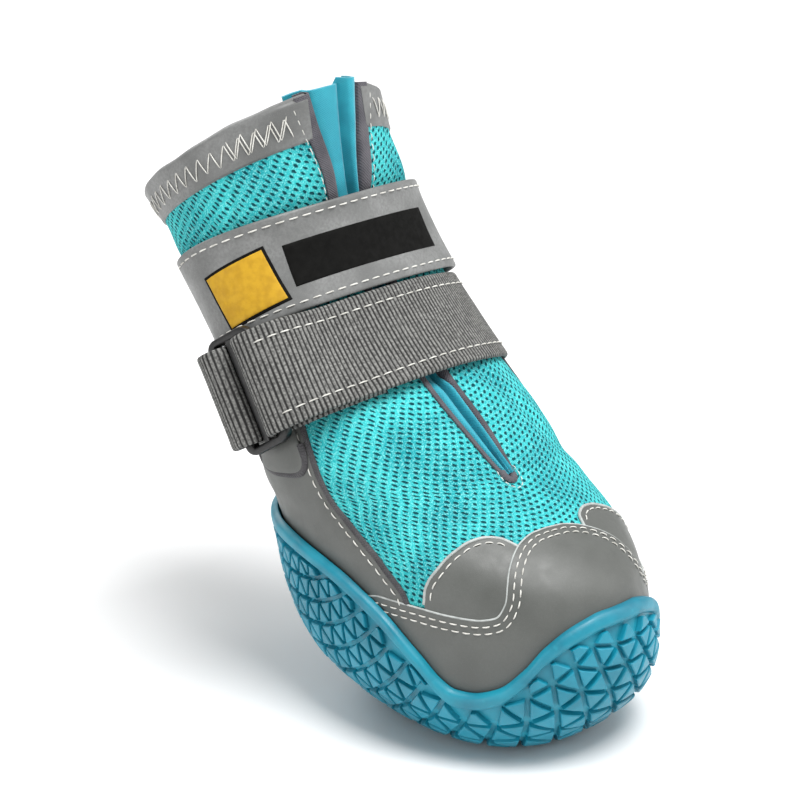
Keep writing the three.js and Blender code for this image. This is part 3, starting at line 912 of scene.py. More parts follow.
@dataclass(frozen=True)
class Seam:
    """A row of dashed stitches: the length of each, the gap after it, and the thread."""

    stitch: float = 1.75
    gap: float = 0.75
    thread: float = 0.2
    sink: float = 0.16

    def tubes(self, points: Array, up: Array) -> Shape:
        """Threads over spans of the cloth, high in the middle and down into it at both ends.

        Args:
            points: Points of each stitch on the cloth, stitches by steps by 3.
            up: Outward directions there.

        Returns:
            The stitches.
        """
        steps = points.shape[1]
        share = np.linspace(0, 1, steps)
        rise = (self.thread + self.sink) * np.sqrt(np.clip(1 - (2 * share - 1) ** 2, 0, 1)) - self.sink
        path = points + up * (rise + self.thread * 0.35)[None, :, None]
        sides = framed(path, up)
        width = np.sqrt(np.clip(1 - np.abs(2 * share - 1) ** 4, 0.12, 1))
        profile = disc(6, self.thread, 0.8)[None] * width[:, None, None]
        return tube(path, sides, profile)

    def along(self, line: Array, up: Array) -> Shape:
        """Stitches along a line of points.

        Args:
            line: Points of the line, close together.
            up: Outward directions at those points.

        Returns:
            The stitches.
        """
        travel = lengths(line, 0)
        count = max(int(travel[-1] / (self.stitch + self.gap)), 1)
        pitch = travel[-1] / count
        starts = (np.arange(count) + 0.5 * self.gap / pitch) * pitch
        at = starts[:, None] + np.linspace(0, 1, 6)[None] * (pitch - self.gap)
        points = np.stack([np.interp(at, travel, line[:, i]) for i in range(3)], -1)
        ups = np.stack([np.interp(at, travel, up[:, i]) for i in range(3)], -1)
        return self.tubes(points, ups)


def sewn(ring: Array, angle: Array, height: float, seam: Seam) -> Shape:
    """Row of stitches on the cloth along a line of ring numbers and angles."""
    return seam.along(LAST.cloth(ring, angle, np.full(np.shape(ring), height)), LAST.outward(ring, angle))


def stitched(name: str, slot: str, threads: Sequence[Shape]) -> None:
    """Makes one piece of several rows of stitches."""
    Shape.joined(threads).place(name, slot, Finish.THREAD, sharp=80)


def piped(ring: Array, angle: Array, height: float, profile: Array, lies: bool = False) -> Shape:
    """Cord of a closed outline along a line on the upper, or on its creased cloth."""
    path = (LAST.cloth if lies else LAST.over)(ring, angle, height)[None]
    return tube(path, framed(path, LAST.outward(ring, angle)[None]), profile)


def inset(ring: Array, angle: Array, distance: float) -> Pair:
    """The same line moved sideways over the cloth, to the left of the way it runs.

    Args:
        ring: Its ring numbers.
        angle: Its angles.
        distance: How far, in millimetres.

    Returns:
        Its ring numbers and angles.
    """
    step = 0.05
    here = LAST.skin(ring, angle)
    up = (LAST.skin(ring + step, angle) - here) / step
    around = LAST.skin(ring, angle + 1) - here
    run = np.gradient(here, axis=0)
    left = unit(np.cross(LAST.outward(ring, angle), run))
    uu, ur, rr = (up * up).sum(-1), (up * around).sum(-1), (around * around).sum(-1)
    lu, lr = (left * up).sum(-1), (left * around).sum(-1)
    scale = uu * rr - ur * ur
    return ring + distance * (lu * rr - lr * ur) / scale, angle + distance * (lr * uu - lu * ur) / scale


# Sole


@dataclass
class CupSole:
    """Moulded rubber cup: flat tread, rounded bowl, wall to the wavy rim, and triangular pads all over."""

    wall_low: float = 3.2
    wall_rim: float = 1.75
    floor_up: float = 5.0
    base_up: float = 1.15
    flat_fore: float = 19.5
    flat_side: float = 14.0
    square: float = 2.4
    clear: float = 0.75
    sunk: float = 0.62
    band: float = 3.1
    band_step: float = 0.98
    pitch: float = 5.8
    groove: float = 1.15
    pad: float = 1.12
    pad_edge: float = 0.35
    crowd: float = 105.0
    turns: int = 240
    rows: int = 90
    fine: int = 4
    band_full: float = 0.8
    band_section: Rows = (
        (0.02, 0.25), (0.08, 0.55), (0.2, 0.76), (0.35, 0.8), (0.6, 0.76), (0.82, 0.6), (0.94, 0.35),
        (1, -0.1),
    )

    @property
    def angles(self) -> Array:
        """Angles of the meridians, from heel to heel."""
        return np.linspace(-180, 180, self.turns + 1)

    @property
    def side(self) -> float:
        """Side of a triangle of the tread's pattern."""
        return self.pitch * 2 / math.sqrt(3)

    def oval(self, scale: float, up: float, angle: Array) -> Array:
        """Points of the flat's outline, a superellipse, at a scale and a height.

        Args:
            scale: Part of the flat's size.
            up: Height over the floor.
            angle: Angles.

        Returns:
            One point for each angle.
        """
        turn = np.radians(angle)
        cos, sin = np.cos(turn), np.sin(turn)
        reach = (np.abs(cos) ** self.square + np.abs(sin) ** self.square) ** (-1 / self.square)
        side, fore = self.flat_side * scale * reach * sin, self.flat_fore * scale * reach * cos
        return np.stack([side, -fore, np.full(angle.shape, up)], -1)

    def wall(self, share: float, height: float, angle: Array, top: Array) -> Array:
        """Points over the upper at a share of the way up to the rim."""
        return LAST.over(top * share, angle, height)

    def thickness(self, share: float) -> float:
        """Height of the wall's face over the upper at a share of its rise."""
        return AIR + lerp(self.wall_low, self.wall_rim, share**0.7) - self.sunk

    @functools.cached_property
    def meridians(self) -> Pair:
        """Outer curves from the edge of the flat up to the rim, evenly spaced along their length.

        The bowl is a curve through one control point, where the wall's slope carried down from its
        foot reaches the level of the flat.

        Returns:
            Points, angles by steps by 3, and the length of each curve.
        """
        angle = self.angles
        top = LAST.rim_ring(angle)
        foot = self.wall(0, self.thickness(0), angle, top)
        slope = foot - self.wall(0.04, self.thickness(0), angle, top)
        edge = self.oval(1, self.base_up, angle)
        control = foot + slope * ((foot[:, 2] - self.base_up) / -slope[:, 2])[:, None]
        bowl, wall = np.linspace(0, 1, 24), np.linspace(0, 1, 40)[1:]
        curve = [edge * (1 - t) ** 2 + control * 2 * t * (1 - t) + foot * t**2 for t in bowl]
        curve += [self.wall(share, self.thickness(share), angle, top) for share in wall]
        line = np.stack(curve, 1)
        travel = lengths(line, 1)
        even = np.linspace(0, 1, self.rows + 1)
        out = [
            np.stack([np.interp(even * far[-1], far, points[:, axis]) for axis in range(3)], -1)
            for far, points in zip(travel, line)
        ]
        return np.stack(out), travel[:, -1]

    @functools.cached_property
    def normals(self) -> Array:
        """Outward normals of the meridian grid.

        Returns:
            Unit vectors, angles by steps by 3.
        """
        line = self.meridians[0]
        around = np.gradient(line, axis=0)
        around[0] = around[-1] = line[1] - line[-2]
        return unit(np.cross(around, np.gradient(line, axis=1)))

    def cup(self) -> Shape:
        """The rubber body, with its smooth band below the rim a step prouder than the pads' bed.

        Returns:
            The closed cup.
        """
        line, total = self.meridians
        angle = self.angles
        bed = 1 - self.band / total
        outside = [self.sample(line, share * bed) for share in np.linspace(0, 1, 34)]
        for share, full in self.band_section:
            at = bed + (1 - bed) * share
            step = self.sample(self.normals, at) * full * self.band_step / self.band_full
            outside.append(self.sample(line, at) + step)
        top = LAST.rim_ring(angle)
        lip = [(1.004, 0.5 * (self.clear + self.thickness(1))), (1.0, self.clear + 0.12)]
        lining = [(share, self.clear) for share in (0.97, 0.9, 0.75, 0.5, 0.25, 0.0)]
        inside = [self.wall(share, height, angle, top) for share, height in lip + lining]
        floor = [(1.14, self.floor_up + 0.5), *((scale, self.floor_up) for scale in (1.05, 0.6, 0.02))]
        bottom = [self.oval(scale, self.base_up, angle) for scale in (0.02, 0.35, 0.7)]
        grid = np.stack([*bottom, *outside, *inside, *(self.oval(*level, angle) for level in floor)])[:, :-1]
        return stacked(grid, np.stack([lengths(grid, 1), lengths(grid, 0)], -1))

    def sample(self, table: Array, share: Array) -> Array:
        """Values of a meridian grid at a share of each curve's length.

        Args:
            table: Angles by steps by 3.
            share: One share, or one for each angle.

        Returns:
            One point or vector for each angle.
        """
        at = np.broadcast_to(share, self.angles.shape) * self.rows
        low = np.clip(at.astype(int), 0, self.rows - 1)
        k = np.arange(self.turns + 1)
        part = (at - low)[:, None]
        return table[k, low] * (1 - part) + table[k, low + 1] * part

    def crowded(self, past: Array) -> Array:
        """Distance along the wall for one in the pattern past the outline: crowd * log(1 + past / crowd)."""
        return np.where(past > 0, self.crowd * np.log1p(np.maximum(past, 0) / self.crowd), past)

    def wrapped(self, flat: Array, height: float) -> Array:
        """Points of the flat tread pattern carried round the bowl and up the wall.

        Inside the flat's outline a point keeps its place. Outside it, the distance past the outline
        is travelled along the meridian at the point's angle, as far as the pads' upper edge.

        Args:
            flat: Side and fore distances from the middle of the pattern, on the last axis.
            height: How far the points stand off the bed.

        Returns:
            Points in space.
        """
        line, total = self.meridians
        angle = np.degrees(np.arctan2(flat[..., 0] / self.flat_side, flat[..., 1] / self.flat_fore))
        edge = self.oval(1, self.base_up, angle)
        reach = np.hypot(flat[..., 0], flat[..., 1])
        past = self.crowded(reach - np.hypot(edge[..., 0], edge[..., 1]))
        at = (angle + 180) / 360 * self.turns
        low = np.clip(at.astype(int), 0, self.turns - 1)
        part = at - low
        length = lerp(total[low], total[low + 1], part)
        travel = np.minimum(past, length - self.band - self.pad_edge)
        travel = np.clip(travel, 0, length) / length * self.rows
        step = np.clip(travel.astype(int), 0, self.rows - 1)
        rest = travel - step

        def mixed(table: Array) -> Array:
            """Value between the four neighbours in the meridian grid."""
            sides = [lerp(table[k, step], table[k, step + 1], rest[..., None]) for k in (low, low + 1)]
            return lerp(*sides, part[..., None])

        inside = np.stack([flat[..., 0], -flat[..., 1], np.full(reach.shape, self.base_up)], -1)
        on_flat = (past <= 0)[..., None]
        down = np.array([0.0, 0.0, -1.0])
        point = np.where(on_flat, inside, mixed(line))
        return point + np.where(on_flat, down, mixed(self.normals)) * height

    def lattice(self) -> tuple[Array, Array, Array]:
        """Middles of the pads below the band, in rows of triangles that point fore and aft by turns.

        Returns:
            Which way each points, 1 or -1, then its fore and its side distance.
        """
        i, j = np.meshgrid(np.arange(-13, 13), np.arange(-24, 25), indexing="ij")
        way = np.where(j % 2 == 0, 1.0, -1.0)
        fore = ((i + (1 - way) / 6) * self.pitch).ravel()
        across = ((j + np.where(i % 2 == 0, 0, 1)) * self.side / 2).ravel()
        angle = np.degrees(np.arctan2(across / self.flat_side, fore / self.flat_fore))
        edge = self.oval(1, 0, angle)
        past = self.crowded(np.hypot(across, fore) - np.hypot(edge[:, 0], edge[:, 1]))
        kept = past < np.interp(angle, self.angles, self.meridians[1]) - self.band - 0.6
        return way.ravel()[kept], fore[kept], across[kept]

    def facet(self) -> tuple[Array, Array, Array]:
        """One triangle split evenly along its sides.

        Returns:
            Shares of its tips at each point, its small faces, and the points round its edge.
        """
        fine = self.fine
        a, b = np.meshgrid(np.arange(fine + 1), np.arange(fine + 1), indexing="ij")
        inside = a + b <= fine
        share = np.stack([a[inside], b[inside], fine - a[inside] - b[inside]], 1) / fine
        at = -np.ones((fine + 1, fine + 1), int)
        at[inside] = np.arange(inside.sum())
        up = [(at[p, q], at[p + 1, q], at[p, q + 1]) for p in range(fine) for q in range(fine - p)]
        down = [
            (at[p + 1, q], at[p + 1, q + 1], at[p, q + 1]) for p in range(fine) for q in range(fine - 1 - p)
        ]
        loop = [at[p, 0] for p in range(fine)] + [at[fine - q, q] for q in range(fine)]
        return share, np.array(up + down), np.array(loop + [at[0, fine - q] for q in range(fine)])

    def pads(self) -> Shape:
        """Triangular pads over the flat, the bowl and the wall, each with a bevelled top.

        Returns:
            The pads.
        """
        way, fore, across = self.lattice()
        share, small, loop = self.facet()
        corner = np.radians([0, 120, 240])
        tips = np.stack([np.sin(corner), np.cos(corner)], 1) * self.side / math.sqrt(3)
        around, parts = share[loop], []
        levels = ((0.26, share, self.pad), (0.04, around, self.pad - 0.16), (-0.12, around, -0.15))
        for inward, weights, height in levels:
            drawn = weights @ tips * (1 - (self.groove / 2 + inward) * 3 / self.pitch)
            flat = [across[:, None] + drawn[None, :, 0], fore[:, None] + way[:, None] * drawn[None, :, 1]]
            parts.append(self.wrapped(np.stack(flat, -1), height))
        points = np.concatenate(parts, 1)
        count, per = points.shape[:2]
        first, second = len(share), len(share) + len(loop)
        hop = np.arange(len(loop))
        after = (hop + 1) % len(loop)
        bevel = np.stack([loop, loop[after], first + after, first + hop], 1)
        skirt = np.stack([first + hop, first + after, second + after, second + hop], 1)
        starts = (np.arange(count) * per)[:, None, None]
        tops = (small[None] + starts).reshape(-1, 3)
        sides = (np.concatenate([bevel, skirt])[None] + starts).reshape(-1, 4)
        under = ((second + hop[::-1])[None, None] + starts).reshape(-1, len(loop))
        shape = Shape(points.reshape(-1, 3), [tops, sides, under], np.zeros((count * per, 2)))
        return self.clean(shape.facing_out())

    @staticmethod
    def clean(shape: Shape) -> Shape:
        """Leaves out the faces of a cut pad that have shrunk to nothing.

        Args:
            shape: All the pads.

        Returns:
            The same shape.
        """
        kept = []
        for group in shape.faces:
            a, b, c, d = (shape.points[group[:, i]] for i in (0, 1, 2, -1))
            span = np.cross(c - a, d - b)
            kept.append(group[(np.linalg.norm(span, axis=1) > 1e-5) | (group.shape[1] > 4)])
        shape.faces = kept
        return shape

    def insole(self) -> Shape:
        """Thin footbed with a rounded edge and a slight crown, lying on the floor of the cup.

        Returns:
            The closed footbed.
        """
        low, high = self.floor_up + 0.3, self.floor_up + 2.3
        levels = (
            *((scale, low) for scale in (0.02, 0.5, 0.97)), (1.0, low + 0.5), (1.01, high - 0.6),
            (0.98, high - 0.1), (0.92, high + 0.05), *((scale, high + 0.1) for scale in (0.6, 0.3, 0.02)),
        )
        angle = np.linspace(0, 360, 97)[:-1]
        grid = np.stack([self.oval(1.12 * scale, up, angle) for scale, up in levels])
        return stacked(grid, grid[..., :2])

    def build(self) -> None:
        """Makes the cup, its pads and the footbed."""
        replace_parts(self.cup().place("cup_sole", "sole_rubber", Finish.RUBBER, sharp=50), "outsole")
        self.pads().place("tread_pads", "sole_rubber", Finish.TREAD, sharp=24)
        bed = self.insole().place("footbed", "lining", Finish.LINING)
        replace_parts(bed, "insole")


# Upper


@dataclass
class MeshUpper:
    """The sewn mesh shell, open at the collar, the slit and underneath."""

    half: int = 108
    rows_below: int = 55
    rows_above: int = 66
    crowding: float = 0.3

    def grid(self) -> Pair:
        """Columns from one edge of the slit round the heel to the other, closer together at the front.

        Returns:
            Ring numbers and angles.
        """
        low = np.linspace(0, SLIT_END, self.rows_below)
        rings = np.concatenate([low, np.linspace(SLIT_END, COLLAR, self.rows_above + 1)[1:]])
        start = np.where(rings <= SLIT_END, 0.0, LAST.side_angle(rings, SLIT.at(rings)))[:, None]
        share = np.linspace(0, 1, self.half + 1)
        right = start + (180 - start) * lerp(share, share**1.5, self.crowding)[None]
        angle = np.concatenate([right, 360 - right[:, ::-1]], 1)
        return np.broadcast_to(rings[:, None], angle.shape), angle

    def build(self) -> None:
        """Makes the shell: its sides are welded at the heel, and at the front below the slit."""
        ring, angle = self.grid()
        outer, inner = LAST.cloth(ring, angle, 0.0), LAST.cloth(ring, angle, -WALL)
        rows, columns = angle.shape
        half, side, count, slit_row = self.half, self.half + 1, rows * columns, self.rows_below - 1
        travel = lengths(outer, 1)
        along = np.concatenate([travel[:, :side], travel[:, side:] - travel[:, -1:]], 1)
        cloth = np.stack([along, lengths(outer, 0)], -1).reshape(-1, 2)
        faces = grid_quads(rows, columns)
        faces = faces[faces[:, 0] % columns != half]
        number = np.arange(count).reshape(rows, columns)
        upright, across = np.arange(slit_row, rows - 1), np.delete(np.arange(columns - 1), half)
        edges = (
            (number[upright, 0], number[upright + 1, 0], 1),
            (number[upright, -1], number[upright + 1, -1], -1),
            (number[0, across], number[0, across + 1], 1),
            (number[-1, across], number[-1, across + 1], -1),
        )
        walls = [np.stack([a, b, b + count, a + count], 1)[:, ::way] for a, b, way in edges]
        groups = [faces, (faces + count)[:, ::-1], np.concatenate(walls)]
        merged = number.copy()
        merged[:, side] = merged[:, half]
        merged[: slit_row + 1, -1] = merged[: slit_row + 1, 0]
        weld = np.concatenate([merged.ravel(), merged.ravel() + count])
        points = np.concatenate([outer.reshape(-1, 3), inner.reshape(-1, 3)])
        shape = Shape(points, groups, np.concatenate([cloth, cloth]), [0, 1, 1], weld)
        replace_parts(shape.place("mesh_upper", "mesh", Finish.MESH, Finish.LINING), "upper")


def strip(
    ring: Array, angle: Array, inward: float, outward: float, high: float, low: float, spans: int = 5,
) -> Shape:
    """Narrow tape along a line on the cloth.

    Args:
        ring: Its ring numbers.
        angle: Its angles.
        inward: Distance of one edge, to the left of the way the line runs.
        outward: Distance of the other edge, to the right.
        high: Height of its face.
        low: Height of its underside.
        spans: Spans across it.

    Returns:
        The closed tape.
    """
    size = inward + outward
    shares, full = edged(spans, size, min(0.3, size / 3))
    rows = [inset(ring, angle, lerp(inward, -outward, share)) for share in shares]
    rings, turns = np.stack([r for r, _ in rows], 1), np.stack([a for _, a in rows], 1)
    return overlay(rings, turns, low, high, (thinned(len(ring), 0.4), full))


def spread(rows: Rows, count: int) -> Pair:
    """Even points along a line through (angle, ring) rows, rounded at its corners.

    Args:
        rows: Angle and ring number of each corner.
        count: How many points to make.

    Returns:
        Ring numbers and angles.
    """
    angle, ring = np.array(rows, float).T
    place = np.concatenate([[0], np.cumsum(np.hypot(np.diff(angle) * 0.45, np.diff(ring) * 7))])
    at = np.linspace(0, place[-1], count)
    return tuple(Curve(tuple(zip(place, values))).at(at) for values in (ring, angle))


@dataclass
class ToeCap:
    """Grey cap over the toe, with a hump in the middle and a scalloped lobe under each side."""

    centre: float = -5.5
    thick: float = 0.62
    lobe_thick: float = 0.4
    under: float = 0.9
    edge: Rows = (
        (-84, 3.62), (-77, 3.8), (-66, 3.76), (-55, 3.66), (-46, 3.62), (-39, 3.72), (-34.5, 4.1),
        (-30.5, 4.6), (-25.5, 5.1), (-19.5, 5.5), (-13, 5.78), (-6, 5.93), (0, 5.96),
    )
    lobe: Rows = (
        (-62, 3.9), (-60, 4.3), (-57, 4.62), (-52, 4.98), (-45, 5.4), (-38, 5.7), (-31, 5.92),
        (-24.5, 6.0), (-19.5, 5.93), (-15.5, 5.62),
    )

    def line(self, rows: Rows, side: int, count: int) -> Pair:
        """Line of the cap on one side, mirrored about its centre for the other."""
        rings, turns = spread(rows, count)
        return rings, self.centre + side * -turns

    @staticmethod
    def layer(
        foot: Array, top: Array, turn: Array, size: tuple[int, float], end: float, thick: float,
    ) -> Shape:
        """Layer from a hidden lower line up to an edge, thinner at its ends and along the edge.

        Args:
            foot: Ring numbers of the lower line.
            top: Ring numbers of the edge.
            turn: Angles of both.
            size: Spans between the lines, and about how far apart they are.
            end: Part of the thickness that is left at both ends.
            thick: Thickness.

        Returns:
            The closed layer.
        """
        shares, full = edged(*size)
        ring = lerp(foot[None], top[None], shares[3:, None])
        return overlay(ring, turn[None], 0.02, thick, (full[3:], thinned(len(turn), end)), lies=False)

    def front(self) -> Shape:
        """The cap, from inside the rim up to its waved edge.

        Returns:
            The closed layer.
        """
        right, left = (self.line(self.edge, side, 150) for side in (-1, 1))
        top, turn = (np.concatenate([a, b[::-1][1:]]) for a, b in zip(right, left))
        foot = np.minimum(LAST.rim_ring(turn) - self.under, top - 0.12)
        return self.layer(foot, top, turn, (60, 40), 0.4, self.thick)

    def side_lobe(self, side: int) -> Shape:
        """The lobe that shows between the cap's waved edge and the mesh.

        Args:
            side: 1 on the boot's left, -1 on its right.

        Returns:
            The closed layer.
        """
        rings, turns = self.line(self.lobe, side, 90)
        edge, away = spread(self.edge, 200)
        order = np.argsort(-away)
        low = np.interp(np.abs(turns - self.centre), -away[order], edge[order])
        return self.layer(np.minimum(low, rings) - 0.35, rings, turns, (26, 14), 0.5, self.lobe_thick)

    def build(self) -> None:
        """Makes the cap, its lobes, their piped edges and their seams."""
        self.front().place("toe_cap", "reflective_tape", Finish.PANEL)
        lobes = Shape.joined([self.side_lobe(-1), self.side_lobe(1)])
        lobes.place("toe_lobes", "reflective_tape", Finish.PANEL)
        threads, pipes, seam = [], [], Seam(1.5, 0.5, 0.14)
        for side in (-1, 1):
            line = self.line(self.edge, side, 260)
            threads += [sewn(*inset(*line, side * away), self.thick, seam) for away in (1.15, 2.35)]
            line = self.line(self.lobe, side, 200)
            ring, turn = inset(*line, side * 1.25)
            threads.append(sewn(ring[6:190], turn[6:190], self.lobe_thick, seam))
            pipes.append(piped(*line, 0.3, disc(8, 0.3)))
            pipes.append(piped(*self.line(self.edge, side, 200), self.thick - 0.2, disc(8, 0.2)))
        stitched("toe_cap_stitches", "reflective_tape", threads)
        Shape.joined(pipes).place("toe_piping", "reflective_tape", Finish.PIPING, sharp=80)


@dataclass
class HeelPanel:
    """Grey panel round the rear of the boot, from one side to the other, with a folded front edge."""

    thick: float = 0.4
    low_ring: float = 1.2
    high_ring: float = 9.9
    edge: Rows = (
        (-73, 1.2), (-72.5, 3.0), (-73, 4.0), (-75.5, 4.9), (-76.5, 6.0), (-76, 6.9), (-74.5, 7.6),
        (-70.5, 8.4), (-66.5, 9.1), (-62, 9.9),
    )

    def front(self, ring: Array) -> Array:
        """Angle of the front edge at a ring number, on the boot's own left."""
        return Curve(tuple((row, -angle) for angle, row in self.edge)).at(ring)

    def build(self) -> None:
        """Makes the panel, its folded edges, its stitches and the back seam's tape."""
        rows = np.linspace(self.low_ring, self.high_ring, 70)
        start = self.front(rows)[:, None]
        shares, full = edged(150, 110)
        angle = lerp(start, 360 - start, shares[None])
        panel = overlay(rows[:, None], angle, 0.02, self.thick, (np.ones(len(rows)), full))
        panel.place("heel_panel", "reflective_tape", Finish.PANEL)
        line = np.linspace(3.72, 9.6, 160)
        folds, threads, seam = [], [], Seam(1.6, 0.6, 0.14)
        for side in (-1, 1):
            turn = side * self.front(line)
            folds.append(strip(line, turn, *(0.1, 0.95)[::side], self.thick + 0.2, 0.05))
            threads.append(sewn(*inset(line, turn, -side * 1.7), self.thick, seam))
        Shape.joined(folds).place("panel_folded_edges", "reflective_tape", Finish.FOLD)
        low, high = np.linspace(2.5, 9.7, 120), np.linspace(12.9, 14.2, 40)
        heel = np.full(low.shape, 180.0)
        back = strip(low, heel, 3.0, 3.0, self.thick + 0.45, 0.05, 8)
        top = strip(high, heel[:40], 2.4, 2.4, 0.45, 0.02, 8)
        Shape.joined([back, top]).place("back_seam_tape", "webbing", Finish.BINDING)
        threads += [sewn(*inset(low, heel, away), self.thick + 0.4, seam) for away in (-2.3, 2.3)]
        stitched("panel_stitches", "reflective_tape", threads)


@dataclass
class CollarBand:
    """Reflective tape folded over the top edge, held by a zigzag stitch."""

    deep: float = 8.2
    inside: float = 6.0
    thick: float = 0.5
    pitch: float = 2.9
    swing: float = 4.5
    middle: float = 4.1
    thread: float = 0.13
    sewn_twice: int = 9

    @property
    def start(self) -> float:
        """Angle of the band's end, at the edge of the slit."""
        return float(LAST.side_angle(COLLAR, SLIT.at(COLLAR))) + 0.4

    def band(self) -> Shape:
        """Tape up the face, over the top in a half round whose height wanders, and down inside.

        Returns:
            The closed band.
        """
        angle = np.linspace(self.start, 360 - self.start, 260)
        rings = np.linspace(COLLAR - self.deep / RING_STEP, COLLAR, 18)
        full = np.ones(len(rings))
        full[0] = 0.35
        outer = [LAST.over(ring, angle, GAP + self.thick * part) for ring, part in zip(rings, full)]
        inner = [LAST.over(ring, angle, GAP) for ring in rings]
        uneven = 0.12 * np.sin(angle * 0.13) + 0.06 * np.sin(angle * 0.29 + 1)
        uneven = uneven * ease(0, 12, 180 - np.abs(angle - 180) - self.start)
        up, normal = LAST.rise(angle), LAST.outward(COLLAR, angle)
        middle = LAST.over(COLLAR, angle, -WALL / 2) + up * uneven[:, None]
        for step in np.linspace(0, math.pi, 9)[1:-1]:
            for put, grow, tall in ((outer, self.thick, 0.55), (inner, 0.0, 0.5)):
                reach, high = math.cos(step), math.sin(step)
                put.append(middle + normal * reach * (WALL / 2 + GAP + grow) + up * high * (tall + grow))
        for ring in rings[::-1][: int(len(rings) * self.inside / self.deep)]:
            outer.append(LAST.over(ring, angle, -WALL - GAP - self.thick))
            inner.append(LAST.over(ring, angle, -WALL - GAP))
        return shell(np.stack(outer), np.stack(inner))

    def zigzag(self) -> Shape:
        """Thread that swings up and down the band, sewn over twice beside the slit.

        Returns:
            The stitches.
        """
        line = np.linspace(self.start + 9, 360 - self.start - 9, 1200)
        travel = lengths(LAST.skin(14.5, line), 0)
        count = int(travel[-1] / (self.pitch / 2))
        turns = np.interp(np.linspace(0, travel[-1], count + 1), travel, line)
        number = np.arange(count + 1)
        wobble = 0.25 * np.sin(number * 1.7) + 0.18 * np.sin(number * 0.83)
        way = np.where(number % 2 == 0, 1, -1)
        ends = COLLAR - self.middle / RING_STEP + way * (self.swing + wobble) / 2 / RING_STEP
        share = np.linspace(0, 1, 8)[None]
        ring = lerp(ends[:-1, None], ends[1:, None], share)
        turn = lerp(turns[:-1, None], turns[1:, None], share)
        seam = Seam(thread=self.thread)
        once = seam.tubes(LAST.over(ring, turn, GAP + self.thick), LAST.outward(ring, turn))
        ring, turn = ring[-self.sewn_twice:-1], turn[-self.sewn_twice:-1]
        again = LAST.over(ring + 0.03, turn + 1.4, 0.1 + self.thick)
        return Shape.joined([once, seam.tubes(again, LAST.outward(ring, turn))])

    def build(self) -> None:
        """Makes the band and its zigzag."""
        self.band().place("collar_band", "reflective_tape", Finish.TAPE)
        stitched("collar_zigzag", "reflective_tape", [self.zigzag()])


@dataclass
class SlitBinding:
    """Binding folded over both edges of the slit, wide at the shaft and narrow on the vamp."""

    thick: float = 0.4
    climb: float = 7.2
    proud: float = 1.1
    wide: Curve = Curve(((7.05, 0.7), (7.6, 0.8), (9.0, 0.95), (11.0, 1.5), (12.6, 2.0), (15.0, 2.6)))
    section: Rows = (
        (1.0, 0.3), (0.985, 0.75), (0.93, 1.0), (0.75, 1.0), (0.5, 1.0), (0.25, 1.0), (0.06, 1.0),
    )

    def edge(self, side: int, rings: Array) -> Shape:
        """Binding of one edge: over the face, round the edge and back inside.

        Args:
            side: 1 on the boot's left, -1 on its right.
            rings: Ring numbers along the edge.

        Returns:
            The closed tape.
        """
        half, width = SLIT.at(rings), self.wide.at(rings)
        rows = [(half + width * share, GAP + self.thick * full, GAP) for share, full in self.section]
        bend = [(math.sin(step), math.cos(step)) for step in np.linspace(0, math.pi, 7)[1:-1]]
        outer, inner = [], []
        for away, high, low in rows:
            turn = LAST.side_angle(rings, away) * side
            outer.append(LAST.cloth(rings, turn, high))
            inner.append(LAST.cloth(rings, turn, low))
        for reach, high in bend:
            for put, grow in ((outer, self.thick), (inner, 0.0)):
                away = np.maximum(half + 0.1 - reach * (0.3 + grow), 0.02)
                height = -WALL / 2 + high * (WALL / 2 + GAP + grow)
                put.append(LAST.cloth(rings, LAST.side_angle(rings, away) * side, height))
        for share in (0.1, 0.5, 0.8):
            turn = LAST.side_angle(rings, half + width * share) * side
            outer.append(LAST.cloth(rings, turn, -WALL - GAP - self.thick))
            inner.append(LAST.cloth(rings, turn, -WALL - GAP))
        raised = (self.proud * ease(COLLAR - 0.6, COLLAR, rings))[:, None, None] * LAST.rise(0.0, 0.2)
        return shell(np.stack(outer, 1) + raised, np.stack(inner, 1) + raised)

    def bow(self, radius: float, above: float) -> Pair:
        """Half circle round the slit's lower end.

        Args:
            radius: Its radius.
            above: How far its middle is over the end of the slit, in rings.

        Returns:
            Ring numbers and angles.
        """
        turn = np.linspace(-1.25, 1.25, 60) * math.pi / 2
        ring = SLIT_END + above - radius * np.cos(turn) / self.climb
        return ring, LAST.side_angle(ring, radius * np.sin(turn))

    def build(self) -> None:
        """Makes the binding, its seams on the shaft and the loop of tape round the slit's lower end."""
        rings = np.concatenate([np.linspace(7.06, 7.5, 12), np.linspace(7.5, COLLAR, 110)[1:]])
        both = Shape.joined([self.edge(-1, rings), self.edge(1, rings)])
        both.place("slit_binding", "webbing", Finish.BINDING)
        line = np.linspace(12.9, 14.95, 90)
        beside = LAST.side_angle(line, SLIT.at(line) + self.wide.at(line) + 0.5)
        threads = [sewn(line, beside * side, self.thick, Seam(1.35, 0.5, 0.1)) for side in (-1, 1)]
        threads.append(sewn(*self.bow(2.15, 0.12), 0.3, Seam(0.9, 0.35, 0.1)))
        stitched("binding_stitches", "webbing", threads)
        loop = piped(*self.bow(1.0, 0.14), 0.25, disc(10, 1.0) * np.array([0.75, 0.42]), lies=True)
        loop.place("slit_end_loop", "webbing", Finish.BINDING)


